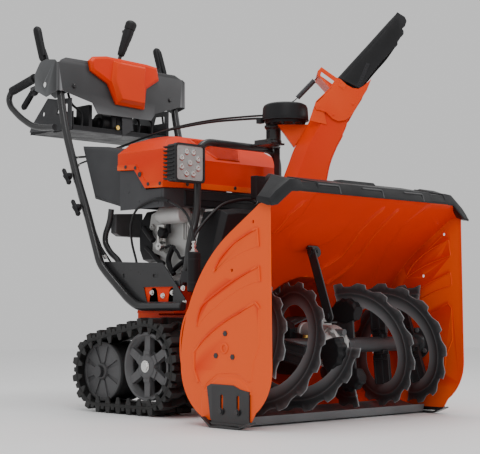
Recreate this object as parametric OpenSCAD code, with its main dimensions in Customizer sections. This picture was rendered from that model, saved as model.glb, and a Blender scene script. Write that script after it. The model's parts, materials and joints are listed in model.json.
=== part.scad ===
// Two stage snowblower on tracks. +X is the machine's left, the housing opens towards -Y, +Z is up.
// Outlines are drawn with Y = 0 at the side plates' front edge, and from_front() moves them
// so that the origin lies on the ground under the middle of the machine.

/* [Auger housing] */
// Width over the side plates
housing_w = 770; // [740:10:800]
// Thickness of the housing sheet
sheet_t = 3; // [2:0.5:4]
// Inner radius of the drum around the augers
drum_r = 176.5; // [176:0.5:180]

/* [Augers and impeller] */
// Radius over the ribbon teeth
auger_r = 172; // [165:1:173]
// Depth of the notches between the teeth
tooth_depth = 9; // [4:1:12]
// Inner radius of the ribbons
ribbon_inner_r = 110; // [105:1:130]
// Advance of a ribbon in one turn
ribbon_lead = 278; // [240:2:300]
// Radius of the impeller blades
impeller_r = 148; // [140:1:149]
// Number of impeller blades
impeller_blades = 5; // [3:1:6]

/* [Chute] */
// Width over the chute walls
chute_w = 150; // [140:2:156]
// Angle of the chute from straight ahead
chute_turn = 46; // [-90:1:90]

/* [Tracks] */
// Radius over the lugs at the drive sprocket
sprocket_lug_r = 138; // [136:1:140]
// Radius over the lugs at the idler
idler_lug_r = 117; // [115:1:119]
// Number of lugs on a belt
lug_count = 24; // [20:1:28]
// Half of the outer track width
track_outer = 300; // [290:1:300]

/* [Frame] */
// Radius of the handle tubes
tube_r = 12.25; // [10:0.25:12.25]
// Half of the distance between the handle tubes
tube_x = 235; // [235:1:238]

/* [Hidden] */
$fn = 48;

front_to_middle = 674.2;   // from the front edge of the side plates to the origin
plate_out = housing_w / 2;
plate_in = plate_out - sheet_t;
fit_gap = 0.05;          // radial clearance of a shaft in its bore
eps = 0.5;               // how far a cutter runs past the face it cuts

// Axes, as [Y, Z] points
auger_axis = [165, 199];
impeller_z = 235;
crank_z = 470;
sprocket_axis = [590, 138];
idler_axis = [809, 117];
chute_axis = [70, 398];   // [X, Y]
deflector_hinge = [92, 874];   // [throw, Z] in the chute's own plane
lamp_axis = [492, 702];
lever_axis = [1142, 1060];
trigger_axis = [1224, 1003];
stick_pivot = [10, 1110, 1060];

orange = [0.93, 0.30, 0.05];
black = [0.09, 0.09, 0.10];
grey = [0.25, 0.26, 0.28];
zinc = [0.70, 0.71, 0.72];

// ---------- helpers ----------

module from_front() translate([0, -front_to_middle, 0]) children();

module both_sides() {
    children();
    mirror([1, 0, 0]) children();
}

// An outline in Y and Z, extruded from x0 to x1
module across(x0, x1) translate([x0, 0, 0]) rotate([90, 0, 90]) linear_extrude(x1 - x0) children();

// An outline in X and Z, extruded from y0 back to y1
module rearwards(y0, y1) translate([0, y1, 0]) rotate([90, 0, 0]) linear_extrude(y1 - y0) children();

module box(low, high) translate(low) cube(high - low);

// A round bar from p to q
module rod(p, q, r) {
    d = q - p;
    translate(p) rotate([0, acos(d[2] / norm(d)), atan2(d[1], d[0])]) cylinder(h = norm(d), r = r);
}

// Straight bars joined by knuckles, which stand proud by the weld
weld = 0.5;
module bent_bar(points, r) {
    for (i = [0 : len(points) - 2]) rod(points[i], points[i + 1], r);
    for (i = [1 : len(points) - 2]) translate(points[i]) sphere(r = r + weld);
}

// A disc or shaft along X, at the [Y, Z] point c, from x0 to x1
module x_disc(c, r, x0, x1) translate([x0, c[0], c[1]]) rotate([0, 90, 0]) cylinder(h = x1 - x0, r = r);

// A disc or shaft along Y, at the [X, Z] point c, from y0 to y1
module y_disc(c, r, y0, y1) translate([c[0], y1, c[1]]) rotate([90, 0, 0]) cylinder(h = y1 - y0, r = r);

function arc(c, r, a0, a1, n) = [for (i = [0 : n]) let (a = a0 + (a1 - a0) * i / n) c + r * [cos(a),
    sin(a)]];

// ---------- cords ----------

cord_steps = 3;   // rings between two points of a route

function spline(a, b, c, d, t) =
    0.5 * (2 * b + (c - a) * t + (2 * a - 5 * b + 4 * c - d) * t * t + (3 * b - a - 3 * c + d) * t * t * t);
function smooth(p) = concat(
    [for (i = [0 : len(p) - 2], k = [0 : cord_steps - 1])
        spline(p[max(i - 1, 0)], p[i], p[i + 1], p[min(i + 2, len(p) - 1)], k / cord_steps)],
    [p[len(p) - 1]]);
function unit(v) = v / norm(v);
function heading(p, i) = unit(p[min(i + 1, len(p) - 1)] - p[max(i - 1, 0)]);
function normals(p, i, n) = i == len(p) ? [] :
    let (t = heading(p, i), m = unit(n - (n * t) * t)) concat([m], normals(p, i + 1, m));

// A closed tube with eight sides along a route
module cord(route, r) {
    path = smooth(route);
    side = normals(path, 0, [0.31, 0.52, 0.79]);
    rings = len(path);
    points = [for (i = [0 : rings - 1], k = [0 : 7])
        let (m = side[i], b = cross(heading(path, i),
            m)) path[i] + r * (cos(45 * k) * m + sin(45 * k) * b)];
    walls = [for (i = [0 : rings - 2], k = [0 : 7], half = [0, 1])
        let (a = i * 8 + k, b = i * 8 + (k + 1) % 8) half == 0 ? [a, a + 8, b] : [b, a + 8, b + 8]];
    ends = [[for (k = [0 : 7]) k], [for (k = [7 : -1 : 0]) (rings - 1) * 8 + k]];
    polyhedron(points, concat(walls, ends));
}

canister_cable = [
    [-235, 454, 480], [-235, 460, 515], [-236, 485, 562], [-236, 534, 592], [-236, 596, 610],
    [-236, 653, 605], [-233, 708, 585], [-226, 741, 543], [-216, 748, 492], [-208, 738, 440],
    [-207, 730, 400]
];
rotator_cable = [
    [-217, 1022, 767], [-190, 1062, 773], [-145, 1100, 781], [-100, 1107, 789], [-62, 1071, 803],
    [-60, 984, 815], [-55, 846, 837], [-30, 766, 850], [-5, 634, 858], [30, 530, 859], [44, 478, 857],
    [47, 460, 854]
];
deflector_cable = [
    [-217, 1012, 742], [-190, 1050, 748], [-140, 1100, 762], [-90, 1116, 779], [-45, 1086, 797],
    [-38, 990, 822], [-30, 880, 842], [-8, 770, 860], [18, 650, 869], [46, 548, 870], [60, 482, 868],
    [64, 464, 866]
];
clutch_cable_right = [
    [-210, 1128, 1000], [-210, 1118, 960], [-210, 1106, 900], [-209, 1088, 840], [-208, 1050, 780],
    [-217.5, 1010, 700], [-217.5, 962, 610], [-214, 920, 520], [-211, 880, 450]
];
clutch_cable_left = [for (p = clutch_cable_right) [-p[0], p[1], p[2]]];
housing_cable = [
    [-125, 505, 565], [-100, 497, 585], [-66, 500, 599], [-30, 500, 612], [5, 500, 617],
    [38, 502, 618], [60, 512, 612]
];

// ---------- auger housing ----------

plate_outline = concat(
    arc([134, 150], 131, 180, 235, 6), [[84, 12]], [[236, 12]], arc([195, 152], 140, -66, 0, 7),
    arc([-66, 150], 402, 2, 57, 14), [[43, 556]], [[8, 556]]);
drum_inside = concat(
    arc(auger_axis, drum_r, -80, 25, 14), arc([-66, 150], 395, 30, 57, 6), [[44, 547]], [[-80, 547]],
        [[-80, 18]]);
drum_outside = concat(
    arc(auger_axis, drum_r + sheet_t, -80, 25, 14), arc([-66, 150], 395 + sheet_t, 30, 57, 6),
    [[45, 547 + sheet_t]], [[6, 547 + sheet_t]], [[6, 530]], [[185, 40]]);
cutter_holes = [[67, 512], [143, 395]];
cutter_hole_r = 4.2;
bearing_bolts = [[164, 236], [198, 180], [133, 180]];
skid_bolts = [[116, 42], [174, 42]];
impeller_tube_r = 152;
seam_gap = 0.3;
duct_low = [-15, 341];
duct_high = [155, 455];
duct_top = 545;

module duct(inset, z0, z1)
    box([duct_low[0] + inset, duct_low[1] + inset, z0], [duct_high[0] - inset, duct_high[1] - inset, z1]);

module auger_housing() color(orange) from_front() difference() {
    across(-plate_in, plate_in) polygon(drum_outside);
    across(-plate_in - eps, plate_in + eps) polygon(drum_inside);
    y_disc([0, impeller_z], impeller_tube_r, 200, 455 - sheet_t);
}

// The round impeller housing behind the drum, and the duct that rises from it to the chute
module discharge_housing() color(orange) from_front() difference() {
    union() {
        y_disc([0, impeller_z], impeller_tube_r + sheet_t, 240, 455);
        duct(0, impeller_z, duct_top);
        box([chute_axis[0] - 88, 312, duct_top], [chute_axis[0] + 88, 484, duct_top + 6]);
        translate([chute_axis[0], chute_axis[1], duct_top + 6]) cylinder(h = 15, r = 84);
    }
    across(-plate_in, plate_in) offset(delta = seam_gap) polygon(drum_outside);
    across(-plate_in, plate_in) polygon(drum_inside);
    y_disc([0, impeller_z], impeller_tube_r, 200, 455 - sheet_t);
    duct(sheet_t, impeller_z, duct_top - 10);
    translate([chute_axis[0], chute_axis[1], duct_top - 10 - eps]) cylinder(h = 40, r = 53.5);
    y_disc([0, impeller_z], 13.5, 440, 470);
}

module rib(points, w, x0) across(x0, x0 + 2.5) polygon(concat(
    [for (p = points) p + [0, w / 2]], [for (i = [len(points) - 1 : -1 : 0]) points[i] - [0, w / 2]]));

module side_plate() difference() {
    union() {
        across(-plate_out, -plate_in) polygon(plate_outline);
        rib([[46, 489], [90, 477], [135, 450], [180, 408], [203, 383]], 12, -plate_out - 2.5);
        rib([[45, 393], [110, 372], [180, 340], [233, 313], [262, 285]], 12, -plate_out - 2.5);
        rib([[45, 308], [120, 280], [200, 240], [272, 185]], 12, -plate_out - 2.5);
    }
    for (h = cutter_holes) x_disc(h, cutter_hole_r, -400, -370);
    for (b = concat(bearing_bolts, skid_bolts)) x_disc(b, 4.5, -400, -370);
    x_disc(auger_axis, 15 + fit_gap, -400, -370);
}
module side_plate_right() color(orange) from_front() side_plate();
module side_plate_left() color(orange) from_front() mirror([1, 0, 0]) side_plate();

// The trim follows the housing's top edge and both upper corners
trim_front = [
    [-396, 550], [-396, 576], [-326, 612], [-302, 621], [302, 621], [326, 612], [396, 576], [396, 550],
    [388, 550], [388, 557.5], [-388, 557.5], [-388, 550]
];
trim_side = [[-13, 550], [-13, 590], [0, 621], [100, 639], [112, 632], [112, 618], [52, 560], [52, 550]];
module housing_trim() color(black) from_front() difference() {
    intersection() {
        rearwards(-20, 120) polygon([for (p = trim_front) [p[0], p[1] > 600 ? p[1] + 20 : p[1]]]);
        across(-400, 400) polygon(trim_side);
    }
    across(-360, 360) polygon([[-8, 557], [-8, 586], [4, 614], [98, 631], [104, 622], [50, 562],
        [50, 557]]);
}

module scraper_bar() color(grey) from_front() box([-372, 172, 4], [372, 196, 9.5]);

brace_top = [-40, 158, 450];
brace_foot = [-40, 129, 277];
module auger_brace() color(black) from_front() {
    difference() {
        hull() {
            translate(brace_top - [2.5, 0, 0]) rotate([0, 90, 0]) cylinder(h = 5, r = 14, $fn = 32);
            translate(brace_foot - [2.5, 0, 0]) rotate([0, 90, 0]) cylinder(h = 5, r = 14, $fn = 32);
        }
        box([-60, 100, 250], [-20, 160, 264]);
    }
    box([-47, 146, 457], [-20, 169, 462]);
    box([-47, 112, 259.3], [-20, 146, 264]);
    x_disc([129, 275], 9, -42, -28);
}

case_x = [-47, 37];
wheel_r = 26.5;
module auger_gearcase() color(zinc) from_front() difference() {
    union() {
        x_disc(auger_axis, 40, case_x[0], case_x[1]);
        x_disc(auger_axis, 56, -26, 18);
        y_disc([0, impeller_z], 24, 108, 262);
        for (a = [200 : 35 : 340])
            x_disc(auger_axis + 49 * [cos(a), sin(a)], 5, -29, 23);
    }
    x_disc(auger_axis, wheel_r + 3, -12, 12);
    y_disc([0, impeller_z], 12, auger_axis[0] - 26, auger_axis[0] + 26);
    x_disc(auger_axis, 15 + fit_gap, -60, 60);
    y_disc([0, impeller_z], 9 + fit_gap, 120, 270);
}

module auger_bearings() color(grey) from_front() both_sides() difference() {
    union() {
        x_disc(auger_axis, 26, -plate_in, -plate_in + 9);
        x_disc(auger_axis, 46, -plate_in, -plate_in + 3);
    }
    for (b = bearing_bolts) x_disc(b, 4.5, -400, -370);
    x_disc(auger_axis, 15 + fit_gap, -400, -360);
}

window_bolts = [[582, 338], [616, 338], [650, 338]];
bracket_bolts = [[777, 396], [632, 393]];
module fasteners() color(zinc) from_front() both_sides() {
    for (b = bearing_bolts) {
        x_disc(b, 4.4, -plate_out - 1, -plate_in + 3);
        x_disc(b, 7.5, -plate_out - 5, -plate_out);
    }
    for (b = skid_bolts) {
        x_disc(b, 4.4, -394, -plate_in);
        x_disc(b, 9, -398, -393.3);
    }
    for (b = window_bolts) x_disc(b, 8, -226, -218.1);
    for (b = bracket_bolts) x_disc(b, 8, -227, -222.1);
}

module chute_ring() color(black) from_front() translate([chute_axis[0], chute_axis[1], duct_top + 21])
    difference() {
        cylinder(h = 9, r = 88);
        translate([0, 0, -eps]) cylinder(h = 10, r = 76);
    }

cap_z = 826;
module rotator_bracket() color(black) from_front() {
    difference() {
        union() {
            box([54, 425, 768], [86, 508.5, 773]);
            translate([chute_axis[0], 446, 768]) cylinder(h = cap_z - 6 - 768, r = 23);
        }
        translate([chute_axis[0], 446, 767]) cylinder(h = 50, r = 8);
    }
    difference() {
        box([54, 500, 760], [86, 508.5, 790]);
        box([60, 495, 778], [80, 515, 786]);
    }
}

module rotator_cap() color(black) from_front() translate([chute_axis[0], chute_axis[1], cap_z]) {
    translate([0, 0, -6]) cylinder(h = 14, r = 57);
    translate([0, 0, 8]) cylinder(h = 12, r1 = 57, r2 = 65);
    translate([0, 0, 20]) cylinder(h = 16, r = 65);
    translate([0, 0, 36]) cylinder(h = 16, r1 = 65, r2 = 50);
    translate([0, 0, 52]) cylinder(h = 8, r = 24);
    translate([0, 0, 60]) cylinder(h = 14, r = 9);
}

// ---------- chute, drawn with its throw along +X of its own plane ----------

// Places children drawn with X along the throw and Y across it
module chute_place()
    translate([chute_axis[0], chute_axis[1], 0]) rotate([0, 0, chute_turn - 90]) children();

// An outline in throw and Z, extruded across the chute over the full width w
module chute_slab(w) translate([0, w / 2, 0]) rotate([90, 0, 0]) linear_extrude(w) children();

chute_outside = [
    [-10, 640], [-10, 666], [24, 758], [64, 830], [78, 858], [163, 822], [163, 802], [131, 738],
    [111, 662], [104, 640]
];
chute_hollow = [
    [-7, 639], [-7, 666], [27, 757], [67, 829], [80.5, 861], [175, 822], [175, 802], [143, 738],
    [123, 662], [116, 639]
];
module chute() color(orange) from_front() chute_place() {
    difference() {
        union() {
            chute_slab(chute_w) polygon(chute_outside);
            translate([0, 0, 575.4]) cylinder(h = 6, r = 86);
            translate([0, 0, 568]) cylinder(h = 30, r = 74);
            hull() {
                translate([0, 0, 597]) cylinder(h = 1, r = 74, $fn = 32);
                chute_slab(chute_w) polygon([[-10, 640], [-10, 641], [104, 641], [104, 640]]);
            }
        }
        chute_slab(chute_w - 2 * sheet_t) polygon(chute_hollow);
        hull() {
            translate([0, 0, 597.9]) cylinder(h = 0.1, r = 71, $fn = 32);
            chute_slab(chute_w - 2 * sheet_t) polygon([[-7, 640], [-7, 641], [101, 641], [101, 640]]);
        }
        translate([0, 0, 560]) cylinder(h = 38, r = 71);
    }
    // gusset that hangs the chute from the rotator
    chute_slab(27) polygon([[-18, cap_z - 7], [59.5, cap_z - 7], [28, 762]]);
    // lug for the deflector's hinge pin on each wall
    difference() {
        for (s = [-1, 1]) translate([0, s * (chute_w / 2) + 3.5, 0]) rotate([90, 0, 0]) linear_extrude(7)
            polygon([[66, 834], [116, 822], [105, 878], [98, 881], [87, 881], [81, 876]]);
        hinge_pin(4 + fit_gap, 100);
    }
}

cheek_outline = [
    [84, 886], [124, 922], [146, 956], [178, 946], [206, 924], [215, 917], [184, 842], [166, 830],
    [148, 831],
    [114, 856], [98, 862], [86, 864], [81, 874]
];
cheek_in = chute_w / 2 + 5.5;
module hinge_pin(r, half) translate([deflector_hinge[0], half, deflector_hinge[1]]) rotate([90, 0, 0])
    cylinder(h = 2 * half, r = r);
module deflector_cheeks() color(orange) from_front() chute_place() {
    for (s = [-1, 1])
        mirror([0, s < 0 ? 1 : 0, 0]) translate([0, cheek_in + sheet_t, 0]) rotate([90, 0, 0])
        linear_extrude(sheet_t) polygon(cheek_outline);
    chute_slab(2 * cheek_in) polygon([[84, 886], [86, 889.5], [124, 926], [144, 957], [146, 954.5],
        [127, 922], [88, 884]]);
    difference() {
        hinge_pin(4, cheek_in + sheet_t);
        hinge_pin(5, chute_w / 2 - 6);
    }
    // arm that the spring pulls on
    for (s = [-1, 1]) translate([0, s * 16 + 1.5, 0]) rotate([90, 0, 0]) linear_extrude(3)
        polygon([[89, 970], [101, 986], [140, 966], [141, 951], [124, 926], [104, 908]]);
}

deflector_top = [[150, 960], [319, 1148], [341, 1134], [346, 1121], [333, 1099], [337, 1083],
    [332, 1069], [232, 916], [215, 924]];
deflector_inner = [[158, 952], [322, 1141], [352, 1121], [352, 1060], [230, 900], [205, 920]];
module deflector() color(black) from_front() chute_place() difference() {
    chute_slab(2 * cheek_in - 0.4) polygon(concat([[147.5, 956]], deflector_top));
    chute_slab(chute_w + 5) polygon(deflector_inner);
}

module deflector_spring() color(zinc) from_front() chute_place()
    rod([31, 0, 892], [86, 0, 948], 7.5);

// ---------- augers ----------

// One serrated ribbon: starts at the top of the turn at x0 and runs outwards for the given degrees
ribbon_t = 4;
teeth_per_turn = 18;
steps_per_tooth = 4;
tooth_shape = [0, -1, -0.55, -0.15];   // notch depth through one tooth
module ribbon(x0, a0, sweep) {
    step = 360 / teeth_per_turn / steps_per_tooth;
    n = floor(sweep / step);
    sections = [for (i = [0 : n]) let (
            a = a0 + i * step, x = x0 + ribbon_lead * i * step / 360,
            r = auger_r + tooth_depth * tooth_shape[i % steps_per_tooth])
        [for (q = [[ribbon_inner_r, 0], [r, 0], [r, ribbon_t], [ribbon_inner_r, ribbon_t]])
            [x + q[1], auger_axis[0] + q[0] * cos(a), auger_axis[1] + q[0] * sin(a)]]];
    points = [for (s = sections, p = s) p];
    walls = [for (i = [0 : n - 1], k = [0 : 3], half = [0, 1])
        let (a = 4 * i + k, b = 4 * i + (k + 1) % 4) half == 0 ? [a, b, a + 4] : [b, b + 4, a + 4]];
    polyhedron(points, concat(walls, [[3, 2, 1, 0]], [[4 * n, 4 * n + 1, 4 * n + 2, 4 * n + 3]]));
}

ribbon_start = 66;
ribbon_sweep = 385;
top_left = 78;     // where the first left ribbon passes the top
top_right = 135;   // the same on the right, as a distance from the middle
function start_angle(top) = 90 - (top - ribbon_start) / ribbon_lead * 360;
module auger_ribbons() color(black) from_front() {
    for (k = [0, 180]) {
        ribbon(ribbon_start, start_angle(top_left) + k, ribbon_sweep);
        mirror([1, 0, 0]) ribbon(ribbon_start, start_angle(top_right) + k, ribbon_sweep);
    }
}

hub_r = 22;
arm_w = 56;
module arm(x, a) translate([x, auger_axis[0], auger_axis[1]]) rotate([a, 0, 0])
    box([0, 15, -arm_w / 2], [8, ribbon_inner_r - 1, arm_w / 2]);
module auger_shaft() color(grey) from_front() {
    x_disc(auger_axis, 15, -382.8, 382.8);
    for (side = [0, 1]) mirror([side, 0, 0]) {
        top = side == 0 ? top_left : top_right;
        difference() {
            x_disc(auger_axis, hub_r, 60, 352);
            x_disc(auger_axis, 14, 50, 360);
        }
        for (k = [0, 180], x = [72, 210, 338])
            arm(x, start_angle(top) + k + (x + 3 - ribbon_start) / ribbon_lead * 360);
    }
    x_disc(auger_axis, wheel_r - 3, -9, 9);
    for (i = [0 : 19]) translate([0, auger_axis[0], auger_axis[1]]) rotate([18 * i, 0, 0])
        box([-9, wheel_r - 3.2, -1.6], [9, wheel_r - 0.2, 1.6]);
}

module shear_bolts() color([0.8, 0.6, 0.25]) from_front() both_sides() for (x = [95, 315]) {
    translate([x, auger_axis[0], auger_axis[1] + hub_r + 0.2]) cylinder(h = 5, r = 6);
    translate([x, auger_axis[0], auger_axis[1] - hub_r - 5.2]) cylinder(h = 5, r = 6);
}

module impeller() color(grey) from_front() {
    y_disc([0, impeller_z], 9, 125, 262.5);
    y_disc([0, impeller_z], 12.5, 262.5, 546);
    y_disc([0, impeller_z], 9.4, auger_axis[0] - 22, auger_axis[0] + 22);
    y_disc([0, impeller_z], 26, 348, 446);
    for (i = [0 : impeller_blades - 1])
        translate([0, 0, impeller_z]) rotate([0, 360 / impeller_blades * i, 0])
        box([-2.5, 352, 24], [2.5, 440, impeller_r]);
}

// A pulley along Y with a square groove for the belt
module pulley(r, bore, y0) rotate([90, 0, 0]) translate([0, 0, -y0 - 20]) rotate_extrude()
    polygon([[bore, 0], [r, 0], [r, 5], [r - 10, 5], [r - 10, 15], [r, 15], [r, 20], [bore, 20]]);
impeller_pulley_r = 88;
engine_pulley_r = 42;
module impeller_pulley() color(grey) from_front()
    translate([0, 0, impeller_z]) pulley(impeller_pulley_r, 12.5, 500);
module engine_pulley() color(grey) from_front() {
    translate([0, 0, crank_z]) pulley(engine_pulley_r, 12.5, 500);
    y_disc([0, crank_z], 12.5, 494, 640);
}
module belt_loop(grow) hull() {
    translate([0, impeller_z]) circle(impeller_pulley_r - 10 + grow);
    translate([0, crank_z]) circle(engine_pulley_r - 10 + grow);
}
module auger_belt() color(black) from_front() rearwards(505.6, 514.4) difference() {
    belt_loop(9.5);
    belt_loop(0.6);
}

cover_outline = [[-104, 140], [104, 140], [128, 170], [128, 300], [80, 520], [62, 538], [-62, 538],
    [-80, 520], [-128, 300], [-128, 170]];
module belt_cover() color(black) from_front() difference() {
    rearwards(462, 545) polygon(cover_outline);
    rearwards(465, 550) offset(delta = -3) polygon(cover_outline);
    y_disc([0, impeller_z], 15, 450, 480);
}

// ---------- chassis and engine ----------

module chassis() color(orange) from_front() difference() {
    union() {
        box([-140, 556, 82], [140, 850, 286]);
        box([-218, 556, 286], [218, 718, 366]);
        box([-140, 718, 286], [140, 790, 366]);
        box([-150, 470, 100], [-131, 556, 300]);
        box([131, 470, 100], [150, 556, 300]);
    }
    box([-137, 559, 70], [137, 847, 283]);
    box([-215, 559, 280], [215, 715, 363]);
    box([-137, 700, 280], [137, 787, 363]);
    x_disc(sprocket_axis, 15, -150, 150);
    y_disc([0, impeller_z], 15, 540, 570);
}

module transmission() color(grey) from_front() difference() {
    union() {
        box([-80, 562, 90], [80, 690, 240]);
        x_disc(sprocket_axis, 30, -100, 100);
        box([-30, 690, 120], [30, 740, 200]);
    }
    x_disc(sprocket_axis, 12.5 + fit_gap, -101, -20);
    x_disc(sprocket_axis, 12.5 + fit_gap, 20, 101);
}

module engine_block() color(grey) from_front() difference() {
    union() {
        box([-95, 620, 366], [120, 760, 560]);
        box([-60, 640, 560], [60, 750, 600]);
        for (i = [0 : 7]) box([120, 632, 400 + 20 * i], [172, 748, 408 + 20 * i]);
        box([120, 650, 395], [166, 730, 560]);
        box([-20, 635, 599], [110, 740, 636]);
        y_disc([80, 619], 10, 622, 635);
        y_disc([0, crank_z], 40, 590, 620);
        y_disc([0, crank_z], 96, 760, 815);
    }
    y_disc([0, crank_z], 12.5 + fit_gap, 580, 645);
}

module carburettor() color(zinc) from_front() {
    box([-165, 668, 452], [-110, 724, 512]);
    x_disc([696, 482], 17, -186, -165);
    x_disc([696, 482], 22, -110, -95.2);
    translate([-138, 696, 425]) cylinder(h = 27, r = 22);
}

module starter_motor() color(zinc) from_front() {
    y_disc([-151, 572], 27, 600, 690);
    y_disc([-151, 572], 19, 690, 706);
    y_disc([-151, 572], 12, 588, 600);
    box([-136, 630, 556], [-95.2, 668, 586]);
}

hood_rear = 793;
tank_side = [[797, 599], [937, 634], [1000, 801], [870, 787], [797, 772]];
module fuel_tank() color(grey) from_front() {
    across(-214, 214) polygon(tank_side);
    translate([120, 950, 790]) cylinder(h = 26, r = 32);
}

hood_side = [
    [557, 643], [557, 728], [640, 803], [700, 812], [760, 816], [hood_rear, 812], [hood_rear, 706],
    [715, 702], [666, 646]
];
hood_plan = [[-187, 557], [187, 557], [235, 585], [235, hood_rear], [-235, hood_rear], [-235, 585]];
hood_face = [[-235, 640], [235, 640], [235, 755], [186, 790], [100, 814], [-100, 814], [-186, 790],
    [-235, 755]];
module hood_solid(inset) intersection() {
    across(-235, 235) offset(delta = -inset) polygon(hood_side);
    translate([0, 0, 600]) linear_extrude(300) offset(delta = -inset) polygon(hood_plan);
    rearwards(550, 900) offset(delta = -inset) polygon([for (p = hood_face) p[1] > 800 ? p + [0, 4] : p]);
}
module hood() color(orange) from_front() difference() {
    hood_solid(0);
    hood_solid(3);
    box([-232, 582, 638], [232, 798, 700]);
    box([-184, 562, 638], [184, 590, 650]);
    across(-232, 232) polygon([[580, 640], [670, 650], [719, 706], [798, 709], [798, 640]]);
    box([-232, 785, 700], [232, 800, 780]);
}

shroud_side = [
    [550, 594], [614, 587], [754, 588], [790, 604], [790, 703], [721, 701], [668, 642], [550, 642]
];
module engine_shroud() color(grey) from_front() difference() {
    intersection() {
        translate([0, 0, 580]) linear_extrude(130) offset(delta = -6) polygon(hood_plan);
        across(-236, 236) polygon(shroud_side);
    }
    translate([0, 0, 570]) linear_extrude(150) offset(delta = -9) polygon(hood_plan);
    box([-220, 770, 570], [220, 800, 720]);
}

guard_half = [
    [-203, 542, 366], [-198, 520, 425], [-194, 520, 470], [-185, 520, 505], [-174, 520, 535],
    [-165, 520, 578], [-163, 520, 610], [-163, 520, 752], [-156, 520, 769], [-139, 520, 776]
];
guard_r = 11;
module guard_tube() color(black) from_front() {
    both_sides() bent_bar(guard_half, guard_r);
    rod([-139, 520, 776], [139, 520, 776], guard_r);
    both_sides() translate([-139, 520, 776]) sphere(r = guard_r + weld);
    difference() {
        union() {
            box([-180, 500, 690], [-172.6, 525, 714]);
            x_disc(lamp_axis, 12, -180, -172.6);
        }
        x_disc(lamp_axis, 5 + fit_gap, -190, -160);
    }
}

module lamp_head() color(black) from_front() {
    difference() {
        box([-295, 465, 648], [-185, 500, 756]);
        box([-289, 460, 654], [-191, 472, 750]);
    }
    for (i = [0 : 7]) box([-290 + 14 * i, 500, 655], [-287 + 14 * i, 516, 749]);
    for (i = [0 : 7]) translate([-240 + 33 * cos(45 * i), 466, 702 + 33 * sin(45 * i)]) rotate([-90, 0,
        0])
        cylinder(h = 6, r = 10);
    translate([-240, 466, 702]) rotate([-90, 0, 0]) cylinder(h = 6, r = 10);
    x_disc(lamp_axis, 5, -185, -168);
    x_disc(lamp_axis, 10, -185, -180.4);
}

// ---------- tracks ----------

belt_t = 10;
lug_h = 20 - 2;
axle_span = norm(idler_axis - sprocket_axis);
axle_tilt = atan2(idler_axis[1] - sprocket_axis[1], idler_axis[0] - sprocket_axis[0]);
big_r = sprocket_lug_r - lug_h;
small_r = idler_lug_r - lug_h;
lean = asin((big_r - small_r) / axle_span);
span = axle_span * cos(lean);
big_arc = big_r * (180 + 2 * lean) * PI / 180;
small_arc = small_r * (180 - 2 * lean) * PI / 180;
belt_length = 2 * span + big_arc + small_arc;

// Point and outward angle at the distance s along the belt, from the sprocket's end of the top run
function belt_at(s) =
    s < span ? [polar(big_r, 90 - lean) + s * polar(1, -lean), 90 - lean] :
    s < span + small_arc ? let (a = 90 - lean - (s - span) / small_r * 180 / PI) [[axle_span,
        0] + polar(small_r, a), a] :
    s < 2 * span + small_arc ? [[axle_span, 0] + polar(small_r, -90 + lean)
        - (s - span - small_arc) * polar(1, lean), -90 + lean] :
    let (a = -90 + lean - (s - 2 * span - small_arc) / big_r * 180 / PI) [polar(big_r, a), a];
function polar(r, a) = [r * cos(a), r * sin(a)];

module loop_outline(shrink) hull() {
    circle(big_r - shrink, $fn = 64);
    translate([axle_span, 0]) circle(small_r - shrink, $fn = 64);
}
module on_track() translate([0, sprocket_axis[0], sprocket_axis[1]]) rotate([axle_tilt, 0, 0]) children();
module one_belt() on_track() {
    across(-track_outer, -150) difference() {
        loop_outline(0);
        loop_outline(belt_t);
    }
    for (i = [0 : lug_count - 1]) let (at = belt_at(i * belt_length / lug_count))
        translate([0, at[0][0], at[0][1]]) rotate([at[1] - 90, 0, 0])
            box([1 - track_outer, -9, -4], [-151, 9, lug_h - 0.6]);
}
module track_belts() color(black) from_front() both_sides() one_belt();

module sprocket() {
    difference() {
        union() {
            x_disc(sprocket_axis, 96, -292, -270);
            x_disc(sprocket_axis, 96, -180, -165);
            x_disc(sprocket_axis, 88, -270, -180);
        }
        x_disc(sprocket_axis, 82, -300, -284);
        x_disc(sprocket_axis, 80, -276, -160);
        for (i = [0 : 5]) translate([0, sprocket_axis[0], sprocket_axis[1]]) rotate([60 * i, 0, 0])
            across(-300, -270) polygon([[40, -13], [70, -29], [70, 29], [40, 13]]);
    }
    for (i = [0 : 10]) translate([0, sprocket_axis[0], sprocket_axis[1]]) rotate([360 / 11 * i + 10, 0,
        0])
        box([-245, 86, -8], [-205, 106.5, 8]);
    x_disc(sprocket_axis, 30, -294, -160);
    x_disc(sprocket_axis, 12.5, -160, -24);
    x_disc(sprocket_axis, 13, -298, -294);
}
module sprocket_right() color(grey) from_front() sprocket();
module sprocket_left() color(grey) from_front() mirror([1, 0, 0]) sprocket();

idler_r = 87;
module idler() difference() {
    union() {
        x_disc(idler_axis, idler_r, -276, -262);
        x_disc(idler_axis, idler_r, -185, -172);
        x_disc(idler_axis, 74, -262, -185);
        x_disc(idler_axis, 24, -282, -160);
    }
    x_disc(idler_axis, 74, -290, -270);
    x_disc(idler_axis, 12 + fit_gap, -300, -150);
}
module idler_hub() x_disc(idler_axis, 24, -282, -262);
module idler_wheel() {
    idler();
    difference() {
        union() {
            idler_hub();
            for (i = [0 : 7]) translate([0, idler_axis[0], idler_axis[1]]) rotate([45 * i, 0, 0])
                box([-276, 22, -3], [-269.8, 76, 3]);
        }
        x_disc(idler_axis, 12 + fit_gap, -300, -150);
    }
}
module idler_right() color(grey) from_front() idler_wheel();
module idler_left() color(grey) from_front() mirror([1, 0, 0]) idler_wheel();

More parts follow.
